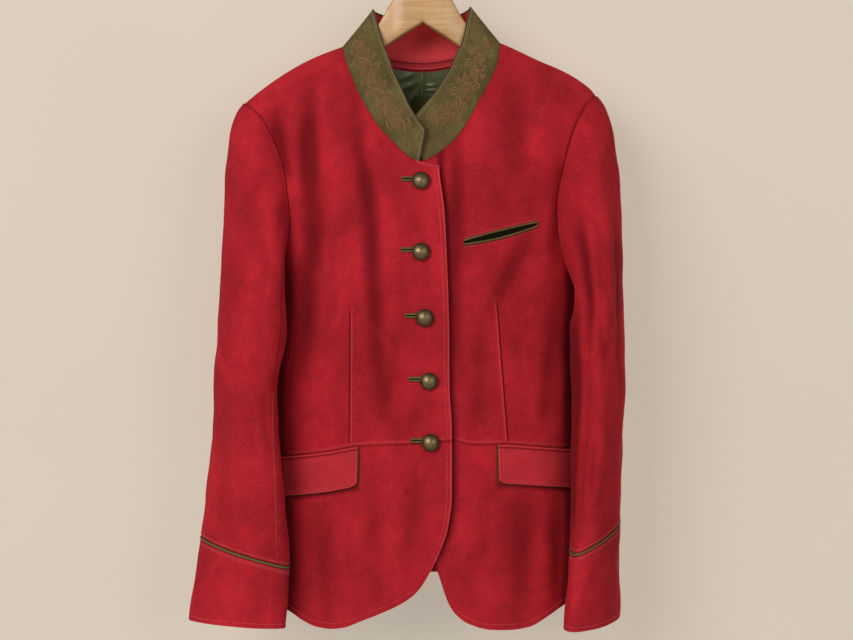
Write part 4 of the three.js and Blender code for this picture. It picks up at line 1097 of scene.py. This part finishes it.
for side, (begin, end, height) in FLAPS.items():
    lapping = side == "right"

    def flap_grid(inset):
        across = mix(inset, 1 - inset, fine_steps(66, ["first", "last"], 0.06, 8))
        u, share = np.meshgrid(across, fine_steps(20, ["first", "last"], 0.16, 10))
        corner = 8 * rounded_end((0.09 - u) / 0.09) + 8 * rounded_end((u - 0.91) / 0.09)
        return cloth(-1, flap_place(side, u, (height - corner - 95 * inset) * share), lapping)

    p, n = flap_grid(0)
    # The backing is painted darker all over, as painted shade under the flap's edge.
    backing = shell(
        f"flap_backing_{side}_suede", p, n, LAID + FLAP_BACKING, LAID, olive_suede, edge=0, hollow=0.75
    )
    p, n = flap_grid(0.011)
    top, foot, first, last = edge_distance(p)
    rim = np.minimum(np.minimum(first, last), foot)
    rise = FLAP_FACE - 0.5 * near(rim, 0, 1.0) - 0.4 * near(rim, EDGE_STITCH - 0.7, 0.9)
    rise += 0.7 * near(top, 1.3, 1.0) - 1.1 * near(top, 3.4, 0.8) + flap_swell(p, top)
    # The face is painted a little paler all over; its rim and welt paler still, as wear and as painted
    # highlight; painted shade lies under the welt.
    flap = shell(
        f"flap_{side}_suede", p, n, rise, LAID + FLAP_BACKING + SEAM, red_suede,
        edge=np.maximum(0.22 + 0.4 * near(rim, 0.6, 1.0), 0.55 * near(top, 1.2, 1.0)),
        hollow=0.7 * near(top, 3.4, 0.9),
    )
    for piece, node in ((backing, f"flap_backing_{side}"), (flap, f"flap_{side}")):
        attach(piece, "root")
        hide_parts(node)

# ---------------------------------------------------------------- breast pocket
# A slanting slit pocket in the left front with a narrow olive welt above and below it.
POCKET = table("t x z half", [
    (0, 47, -390.5, 3.6), (0.1, 56, -388.6, 4.3), (0.5, 88, -381, 5.5), (0.9, 122, -371.4, 4.4),
    (1, 131, -368.5, 3.4),
])
# Height of each welt.
POCKET_WELT = 2.4


def pocket_patch(low, high, end=0.0):
    """Grid over the pocket between two edges, which are given from its half height; end is left free."""
    t, share = np.meshgrid(np.linspace(end, 1 - end, 81), np.linspace(0, 1, 9))
    half = POCKET("half", t)
    return cloth(-1, place_of(POCKET("x", t), POCKET("z", t) + mix(high(half), low(half), share)))


slit = lambda half: half - POCKET_WELT
welts = {
    "breast_welt_upper": (slit, lambda half: half),
    "breast_welt_lower": (lambda half: -half, lambda half: -slit(half)),
}
for name, (low, high) in welts.items():
    p, n = pocket_patch(low, high)
    crown = 0.5 * np.sin(math.pi * np.linspace(0, 1, 9))[:, None]
    # The crown of each welt is painted pale, as wear and as painted highlight, and its edges dark as painted
    # shade.
    welt = shell(
        name + "_suede", p, n, LAID + 1.15 + crown, LAID, olive_suede,
        edge=0.3 * crown, hollow=0.75 - 1.4 * crown,
    )
    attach(welt, "root")
    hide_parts(name)


def two_tone(name, sockets, grain, low, high, strength, depth, fine=None):
    """A material that varies between two colours by noise of one grain and detail; the same noise, or a
    finer one, is its relief."""
    material = start_material(name, sockets)
    tone = noise(material, *grain)
    height = noise(material, *fine) if fine else tone
    finish(material, blend(material, tone, low, high), relief(material, strength, depth, height))
    return material


# Near-black matt cotton in the slits of the pocket and the buttonholes, its dark colour painted shade of
# the openings; its weave is drawn at 0.8 mm, coarser than real.
cotton = {"Roughness": 0.95, "Specular IOR Level": 0.05}
opening_shade_cloth = two_tone("pocketing_cotton", cotton, (0.8, 2), "#0C0906", "#1B150C", 0.3, 0.2)
# The pocket's slit is a near-black sheet, painted shade of the opening.
p, n = pocket_patch(lambda half: -slit(half), slit, 0.01)
opening = shell("breast_pocket_cloth", p, n, LAID + 0.35, LAID - 0.1, opening_shade_cloth)
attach(opening, "root")
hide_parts("breast_pocket_slit")

# ---------------------------------------------------------------- buttonholes
# Bound buttonholes in the lapping front: two narrow olive lips with the dark slit between them,
# squared off at the outer end.
BUTTONS = table("t x z", [
    (1, -2.1, -321), (2, -2.1, -401.8), (3, 2, -476.3), (4, 6.9, -548.5), (5, 8.7, -618.6),
])
# The buttonholes lie this far above the middle of the buttons, which pull down on them.
HOLE_RAISED = 2.4


def hole_grid(number, across, upright):
    """Grid beside a button, over distances from its middle."""
    dx, dz = np.meshgrid(across, upright)
    x, z = BUTTONS("x", number) + dx, BUTTONS("z", number) + HOLE_RAISED + dz
    return dx, dz, *cloth(-1, place_of(x, z), True)


for number in range(1, 6):
    dx, dz, p, n = hole_grid(number, np.linspace(-22.5, -3.6, 30), np.linspace(2.9, -2.9, 33))
    lips = 0.55 * np.abs(np.cos(math.pi * dz / 5.8)) ** 0.5 + 0.7 * near(np.abs(dz), 1.45, 0.9)
    lips -= 1.3 * near(dz, 0, 0.55) * ramp(-21.6, -20.4, dx)
    lips = LAID + 0.35 + np.maximum(lips, -0.2) - 0.4 * near(dx, -22.5, 0.8)
    # The lips are painted pale along their crowns, as wear and as painted highlight, and dark in the slit and
    # at their outer edges as painted shade.
    hole = shell(
        f"buttonhole_{number}_lips", p, n, lips, LAID - 0.1, olive_suede,
        edge=0.35 * near(np.abs(dz), 1.45, 0.8),
        hollow=np.maximum(near(dz, 0, 0.9), 0.5 * near(np.abs(dz), 2.9, 0.6)),
    )
    # The slit is a near-black sheet, painted shade of the opening.
    dx, dz, p, n = hole_grid(number, np.linspace(-20.4, -4, 30), np.linspace(0.5, -0.5, 3))
    gap = shell(f"buttonhole_{number}_slit", p, n, LAID + 0.5, LAID, opening_shade_cloth)
    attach(gap, "root")
    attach(hole, "root")
    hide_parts(f"buttonhole_{number}")

# ---------------------------------------------------------------- buttons
# Cast brass dome buttons, darkened in a bath and rubbed bright on the high parts, each sewn on
# by a shank.
# Aged brass: dark in its hollows and stains, brighter and smoother where it is rubbed, finely pitted.
brass = start_material("antiqued_brass", {"Metallic": 1.0, "Roughness": 0.42})
rubbed = add_node(brass, "Attribute", attribute_name="edge").outputs["Fac"]
cloudy = noise(brass, 4, 5, Roughness=0.65)
stain = add_node(brass, "Math", {1: 0.35}, {0: cloudy}, operation="SUBTRACT").outputs[0]
bright = add_node(brass, "Math", {}, {0: rubbed, 1: stain}, operation="ADD", use_clamp=True).outputs[0]
pits = relief(brass, 0.25, 0.3, noise(brass, 0.9, 3))
finish(brass, blend(brass, bright, "#30291E", "#7C6D50"), pits, remap(brass, bright, (0, 1), (0.6, 0.4)))
# Radius and height of the turned profile, and how far the rubbing has brightened it.
BUTTON = [
    (2.6, 0.6, 0), (2.6, 2.6, 0), (5.0, 2.5, 0), (8.8, 2.7, 0), (9.8, 3.0, 0.1), (10.2, 3.5, 0.5),
    (10.1, 4.0, 0.35), (9.7, 4.25, 0), (9.4, 4.5, 0.05), (8.8, 5.2, 0.2), (7.8, 6.1, 0.35),
    (6.6, 6.95, 0.5), (5.2, 7.7, 0.6), (3.6, 8.35, 0.7), (2.0, 8.8, 0.75), (0.8, 8.97, 0.8),
]
for number in range(1, 6):
    p, n = (value[0] for value in cloth(-1, place_of(BUTTONS("x", [number]), BUTTONS("z", [number])), True))
    across = unit(np.cross(np.array([0.0, 0.0, 1.0]), n))
    steps = np.linspace(0, len(BUTTON) - 1, 3 * (len(BUTTON) - 1) + 1)
    radius, height, bright = (np.interp(steps, np.arange(len(BUTTON)), column) for column in zip(*BUTTON))
    axis = p + n * height[:, None]
    button = loft(f"button_{number}_brass", tube(axis, across, np.cross(n, across), radius, 48), brass)
    layer = button.data.attributes.new("edge", "FLOAT", "POINT")
    layer.data.foreach_set("value", np.concatenate([np.repeat(bright, 48), [0, 0.9]]).astype(np.float32))
    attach(button, "root")
    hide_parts(f"button_{number}")

# ---------------------------------------------------------------- topstitching of the fronts
# Rows of red polyester thread along the edges, above the waist seam and the hem, beside the darts, round
# the pocket, on the flaps, at the cuffs and down one sleeve seam.  Each stitch is drawn 0.7 mm thick,
# coarser than real thread, so it shows.
THREAD = 0.7
twisted = {"Roughness": 0.6, "Sheen Weight": 0.05}
red_thread = two_tone("red_polyester_thread", twisted, (0.7, 1), "#A3242C", "#DC5C58", 0.3, 0.2)


def sew(name, lines, thread, pitch=3.4, length=2.5, thick=THREAD, slant=0.0):
    """A row of stitches along each line; a line is its points and the cloth's normals there."""
    points, faces, count = [], [], 0
    angle = np.linspace(0, 2 * math.pi, 6, endpoint=False)
    profile = [(-0.5, 0.25, -0.28), (-0.36, 0.85, 0.02), (0, 1, 0.12), (0.36, 0.85, 0.02), (0.5, 0.25, -0.28)]
    for p, n in lines:
        run = travelled(p)
        read = lambda values, at: np.stack([np.interp(at, run, values[:, k]) for k in range(3)], axis=-1)
        at = np.arange(pitch * 0.6, run[-1] - pitch * 0.4, pitch)
        at = at + 0.12 * pitch * np.sin(at * 1.7)
        centre, up = read(p, at), unit(read(n, at))
        ahead = unit(read(p, at + 0.5) - read(p, at - 0.5))
        beside = np.cross(up, ahead)
        if slant:
            ahead = unit(ahead + slant * beside)
            beside = np.cross(up, ahead)
        for c, a, b, u in zip(centre, ahead, beside, up):
            for shift, size, lift in profile:
                ring = c + a * shift * length + u * lift * thick
                points.append(
                    ring + 0.5 * thick * size * (b * np.cos(angle)[:, None] + u * 0.75 * np.sin(angle)[:, None])
                )
            grid = count + np.arange(30).reshape(5, 6)
            faces.append(bands(grid))
            faces.append(np.stack([grid[0, [0, 1, 2, 3]], grid[0, [3, 4, 5, 0]]])[:, ::-1])
            faces.append(np.stack([grid[4, [0, 1, 2, 3]], grid[4, [3, 4, 5, 0]]]))
            count += 30
    stitches = add_mesh(name, np.concatenate(points), [np.concatenate(faces)], thread)
    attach(stitches, "root")
    return stitches


def front_line(x, z, lapping, lift=0.0):
    """A line on a front, by x and z."""
    p, n = cloth(-1, place_of(x, z), lapping)
    return p + n * lift, n


for side, front in FRONTS.items():
    lapping = side == "right"
    sign = front["sign"]
    lines = []
    # The edge of the left front is covered down to the skirt.
    edge_rows = [(front["corner"] - 5, -614, 300), (-626, -770, 140)] if lapping else [(-700, -780, 90)]
    for z in (np.linspace(*row) for row in edge_rows):
        lines.append(front_line(FRONT_EDGES[side]("x", z) + sign * EDGE_STITCH, z, lapping, -0.25))
    x = np.linspace(20 if lapping else 44, sign * 176, 260)
    lines.append(front_line(x, WAIST("z", x) + 3.2, lapping, -0.4))
    x = np.linspace(-12 if lapping else 36, sign * 182, 300)
    lines.append(front_line(x, HEMS[side]("z", x) + EDGE_STITCH + 1, lapping, -0.2))
    x0, z0, x1, z1 = DARTS[side]
    t = np.linspace(0.02, 0.98, 160)
    lines.append(front_line(mix(x0, x1, t) - sign * 3.6, mix(z0, z1, t), lapping, -0.1))
    if not lapping:
        t = np.linspace(0.0, 1.0, 120)
        for edge_side in (1, -1):
            offset = edge_side * (POCKET("half", t) + 1.9)
            lines.append(front_line(POCKET("x", t), POCKET("z", t) + offset, False, 0.0))
    sew(f"topstitch_front_{side}", lines, red_thread)

# The flaps' stitches run just inside the edge at the sides and foot.
for side, (begin, end, height) in FLAPS.items():
    u = np.concatenate([np.full(30, 0.045), np.linspace(0.045, 0.955, 120), np.full(30, 0.955)])
    deep = height - 5.2 - 6 * rounded_end((0.13 - u) / 0.085) - 6 * rounded_end((u - 0.87) / 0.085)
    down = deep * np.concatenate([np.linspace(0.12, 1, 30), np.ones(120), np.linspace(1, 0.12, 30)])
    p, n = cloth(-1, flap_place(side, u, down), side == "right")
    lift = FLAP_FACE - 0.45 + flap_swell(p, down)
    sew(f"topstitch_flap_{side}", [(p + n * lift[:, None], n)], red_thread)

# The cuffs' run beside the seam on both of its sides, above the hem, and down the cuff at its opening.
CUFF_OPENING = {"right": 46, "left": 150}
for side in SLEEVES:
    psi = np.linspace(0, 2 * math.pi, 240)
    seam = cuff_seam(side, psi)
    rows = [(psi, seam - 4.6), (psi, cuff_foot(psi) + 5.2), (psi, seam + CUFF_TRIM + 4)]
    psi = np.full(60, math.radians(CUFF_OPENING[side]))
    rows.append((psi, np.maximum(cuff_seam(side, psi) - np.linspace(6, 76, 60), cuff_foot(psi) + 5)))
    if side == "right":
        # One more row holds the front seam of this sleeve, from below the elbow to the cuff.
        z = np.linspace(-560, -736, 120)
        rows.append((np.radians(np.interp(z, [-736, -640, -560], [58, 84, 108])), z))
    lines = [cuff_cloth(side, psi, z) for psi, z in rows]
    sew(f"topstitch_cuff_{side}", [(p + n * 0.15, n) for p, n in lines], red_thread)

# ---------------------------------------------------------------- piping and stitching of the collar
# A dark brown leather cord is let in along the collar's top edge and down its lapping end, and a
# row of short stitches holds it, 3 mm inside the edge.
brown_leather = two_tone(
    "dark_brown_leather_cord", {"Roughness": 0.6}, (5, 3), "#2A150D", "#54351F", 0.2, 0.2, (0.8, 2)
)
olive_thread = two_tone("olive_polyester_thread", {"Roughness": 0.55}, (0.8, 1), "#7B754A", "#B5AE7E", 0.3, 0.2)


def tapered(count, least, step):
    """1 along a line of this many points, less at both ends."""
    return np.minimum(1, least + step * np.minimum(np.arange(count), np.arange(count)[::-1]))


def cord_along(name, p, n, radius):
    """A round cord of the brown leather along a line, tapered at both ends."""
    ahead = unit(np.gradient(p, axis=0))
    beside = unit(np.cross(n, ahead))
    rings = tube(p, beside, np.cross(ahead, beside), radius * tapered(len(p), 0.3, 0.35), 10)
    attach(loft(name, rings, brown_leather), "root")


middle_p = collar_p - collar_n * (SUEDE + SEAM / 2)
top_line = middle_p[-1] + 1.0 * unit(middle_p[-1] - middle_p[-4]) + 0.5 * collar_n[-1]
cord_along("collar_top_piping", top_line, collar_n[-1], 1.35)
end_line = middle_p[::-1, 0] + 0.8 * unit(middle_p[::-1, 0] - middle_p[::-1, 3])
cord_along("collar_end_piping", end_line, collar_n[::-1, 0], 1.0)


def on_collar(t, v, lift=0.0):
    """Points and normals on the collar's face; t along the neck seam, v across the stand."""
    t, v = np.broadcast_arrays(np.asarray(t, float), np.asarray(v, float))
    p = collar_point(t, v)
    across = collar_point(t + 0.01, v) - collar_point(t - 0.01, v)
    rise = collar_point(t, v + 0.01) - collar_point(t, v - 0.01)
    n = unit(np.cross(across, rise))
    out = np.stack([p[..., 0], p[..., 1] - 6, 0 * t], axis=-1)
    n = np.where((np.sum(n * out, axis=-1) < 0)[..., None], -n, n)
    return p + n * lift, n


height = np.linalg.norm(collar_p[-1] - collar_p[0], axis=-1)
stations = np.linspace(1, 17, 221)
t = np.linspace(1.08, 16.92, 900)
edge_row = on_collar(t, 1 - COLLAR_STITCH / np.interp(t, stations, height), -0.2)
end_row = on_collar(1.12, np.linspace(0.1, 0.93, 40), -0.2)
sew("topstitch_collar", [edge_row, end_row], olive_thread, pitch=2.3, length=1.5, thick=0.6, slant=0.5)

# The same thread closes the centre seam of the lining, in stitches drawn 0.8 mm thick, coarser than real.
z = np.linspace(-176, -620, 200)
p, n = cloth(1, place_of(LINING_MIDDLE + 0 * z, z))
seam_row = (p - n * (LINING_INSIDE + LINING + 1.75), -n)
sew("lining_centre_seam", [seam_row], olive_thread, pitch=3.0, length=2.7, thick=0.8)

# ---------------------------------------------------------------- collar embroidery
# Rust silk on each side of the collar: a waving stem with curled tendrils and small lobed leaves,
# worked in raised cord stitch.  The lie of the silk lets it shine along the thread.
silk = start_material("rust_silk_embroidery", {"Roughness": 0.5, "Sheen Weight": 0.3})
place = add_node(silk, "TexCoord").outputs["Object"]
worked = add_node(silk, "TexWave", {"Scale": per(1.6), "Distortion": 1.5}, {"Vector": place}).outputs["Fac"]
finish(silk, blend(silk, noise(silk, 2.2, 2, place), "#593C12", "#956723"), relief(silk, 0.5, 0.3, worked))

run = travelled(on_collar(stations, 0.5)[0])
# Length of one wave of the stem along the collar, and how far it swings to each side, in mm.
STEM_WAVE = 44
STEM_SWING = 6.5


def spiral(x, y, heading, turn, size, turns=1.35):
    """A tendril that leaves x, y towards heading and curls in; turn is 1 to the left, -1 to the right."""
    angle = np.linspace(0, 2 * math.pi * turns, 44)
    radius = size * (1 - 0.82 * (angle / angle[-1]) ** 0.8)
    start = heading - turn * math.pi / 2
    at = start + turn * angle
    x, y = x - size * math.cos(start), y - size * math.sin(start)
    return np.stack([x + radius * np.cos(at), y + radius * np.sin(at)], axis=-1)


def leaf(x, y, heading, length, curve):
    """Outline, midrib and slanting filling stitches of a leaf with three lobes a side, bent to one side."""
    bend = lambda s, w: np.stack([length * s, curve * length * s**2 + w], axis=-1)
    half = lambda s: 0.36 * length * np.sin(math.pi * s**0.75) * (1 + 0.3 * np.sin(6 * math.pi * s))
    s = np.linspace(0, 1, 26)
    lines = [bend(s, 0 * s), bend(s, half(s)), bend(s, -0.9 * half(s))]
    for at in np.arange(0.1, 0.86, 1.25 / length):
        t = np.linspace(0, 1, 4)
        for way in (1, -0.9):
            lines.append(bend(at + 0.1 * t, t * way * half(at + 0.1)))
    turn = np.array([[math.cos(heading), math.sin(heading)], [-math.sin(heading), math.cos(heading)]])
    return [line @ turn + [x, y] for line in lines]


def vine(start, end):
    """The strokes of one side of the collar, as millimetres along it and off its middle."""
    strokes = []
    s = np.linspace(start, end, 120)
    swing = lambda s: STEM_SWING * np.sin(2 * math.pi * (s - start) / STEM_WAVE)
    for beside in (-0.7, 0.7):
        strokes.append(np.stack([s, swing(s) + beside], axis=-1))
    for number, at in enumerate(np.arange(start + 7, end - 10, STEM_WAVE / 2)):
        side = -1 if number % 2 else 1
        strokes.append(spiral(at, swing(at), side * 0.8, side, 7.2, 1.5))
        strokes.append(spiral(at, swing(at), side * 0.8, side, 6.0, 1.3))
        strokes.append(spiral(at + 12, swing(at + 12), -side * 0.9, -side, 4.8, 1.2))
        strokes += leaf(at + 3, swing(at + 3) - side * 1.0, -side * 1.0, 17, 0.3 * side)
        strokes += leaf(at + 15, swing(at + 15) + side * 1.0, side * 1.2, 13, -0.35 * side)
        strokes += leaf(at + 8, swing(at + 8) + side * 6, side * 0.2, 9, 0.4 * side)
    strokes += leaf(end, swing(end), 0.1, 12, 0.3)
    return strokes


# Where the stem of each side starts and ends, in mm along the middle of the collar.
SPANS = {"right": (24, 152), "left": (run[-1] - 28, run[-1] - 152)}
for side, (start, end) in SPANS.items():
    flip = 1 if end > start else -1
    strokes = vine(0, abs(end - start))
    drawn = np.concatenate(strokes)
    t = np.interp(start + flip * drawn[:, 0], run, stations)
    v = 0.47 + np.clip(drawn[:, 1], -15, 15) / np.interp(t, stations, height)
    cuts = np.cumsum([len(stroke) for stroke in strokes])[:-1]
    points, faces, count = [], [], 0
    for p, n in zip(*(np.split(values, cuts) for values in on_collar(t, v, 0.1))):
        ahead = unit(np.gradient(p, axis=0))
        beside = unit(np.cross(n, ahead))
        size = 0.62 * tapered(len(p), 0.35, 0.25)[:, None]
        # The section of a laid stitch: how far beside the line and how high over the collar, in five points.
        section = ((-1, -0.25), (-0.75, 0.35), (0, 0.6), (0.75, 0.35), (1, -0.25))
        ring = [p + beside * size * off + n * high for off, high in section]
        points.append(np.stack(ring, axis=1).reshape(-1, 3))
        grid = count + np.arange(len(p) * 5).reshape(len(p), 5)
        faces.append(bands(grid))
        faces.append(np.stack([grid[0, 3::-1], grid[-1, :4]]))
        count += len(p) * 5
    work = add_mesh(f"embroidery_{side}", np.concatenate(points), [np.concatenate(faces)], silk)
    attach(work, "root")

# ---------------------------------------------------------------- studio
# A plain pale wall close behind, which glows a little by itself, and a floor below.  Soft lamps stand
# high on the left, on the right and, for the back, behind; the wall is clear when seen from there.
WALL, FLOOR = 0.082, -1.3
plaster = start_material(
    "painted_plaster", {"Roughness": 0.95, "Emission Color": linear("#DACFBF"), "Emission Strength": 0.56}
)
finish(plaster, blend(plaster, noise(plaster, 240, 3), "#8F867B", "#968D82"))
rear = add_node(plaster, "NewGeometry").outputs["Backfacing"]
painted = plaster.node_tree.nodes["Principled BSDF"].outputs[0]
clear = add_node(plaster, "BsdfTransparent").outputs[0]
ended = add_node(plaster, "MixShader", {}, {0: rear, 1: painted, 2: clear}).outputs[0]
plaster.node_tree.links.new(ended, plaster.node_tree.nodes["Material Output"].inputs["Surface"])


def plain_sheet(name, corners):
    """A sheet of the set, which throws no shadow or light on the jacket."""
    mesh = bpy.data.meshes.new(name)
    mesh.from_pydata(corners, [], [(0, 1, 2, 3)])
    mesh.materials.append(plaster)
    made = bpy.data.objects.new(name, mesh)
    made.visible_shadow = False
    made.visible_diffuse = False
    bpy.context.scene.collection.objects.link(made)
    made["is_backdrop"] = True


plain_sheet("wall", [(-3, WALL, FLOOR), (3, WALL, FLOOR), (3, WALL, 1.6), (-3, WALL, 1.6)])
plain_sheet("floor", [(-3, -3.6, FLOOR), (3, -3.6, FLOOR), (3, 0.09, FLOOR), (-3, 0.09, FLOOR)])


MIDDLE = (0, 0, -0.45)


def lamp(name, place, size, power, colour):
    """A soft square lamp that is turned to the middle of the jacket."""
    light = bpy.data.lights.new(name, "AREA")
    light.shape, light.size, light.size_y = "RECTANGLE", size, size
    light.energy, light.color = power, linear(colour)[:3]
    made = bpy.data.objects.new(name, light)
    made.location = place
    x, y, z = np.array(MIDDLE) - np.array(place)
    made.rotation_euler = (math.acos(-z / math.hypot(x, y, z)), 0, math.atan2(y, x) - math.pi / 2)
    bpy.context.scene.collection.objects.link(made)


lamp("key", (-2.3, -3.4, 0.9), 2.3, 130, "#FFFAF4")
lamp("fill", (2.2, -3.4, 0.2), 2.0, 36, "#F8F8FF")
lamp("rear_fill", (0.8, 3.2, 0.6), 2.0, 110, "#FFFFFF")

world = bpy.data.worlds.new("pale_room")
world.use_nodes = True
world.node_tree.nodes["Background"].inputs[0].default_value = linear("#DDD6CA")
world.node_tree.nodes["Background"].inputs[1].default_value = 0.5
bpy.context.scene.world = world
bpy.context.scene.view_settings.view_transform = "Standard"

# The camera looks straight ahead at the jacket from 1.8 m in front of its hook.
camera = bpy.data.objects.new("camera", bpy.data.cameras.new("camera"))
camera.location = (0.00415, -1.8, -0.479)
camera.rotation_euler = (math.radians(90), 0, 0)
camera.data.sensor_width = 36
camera.data.lens = 64.05
bpy.context.scene.collection.objects.link(camera)
bpy.context.scene.camera = camera

# ---------------------------------------------------------------- size of the whole
low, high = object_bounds()
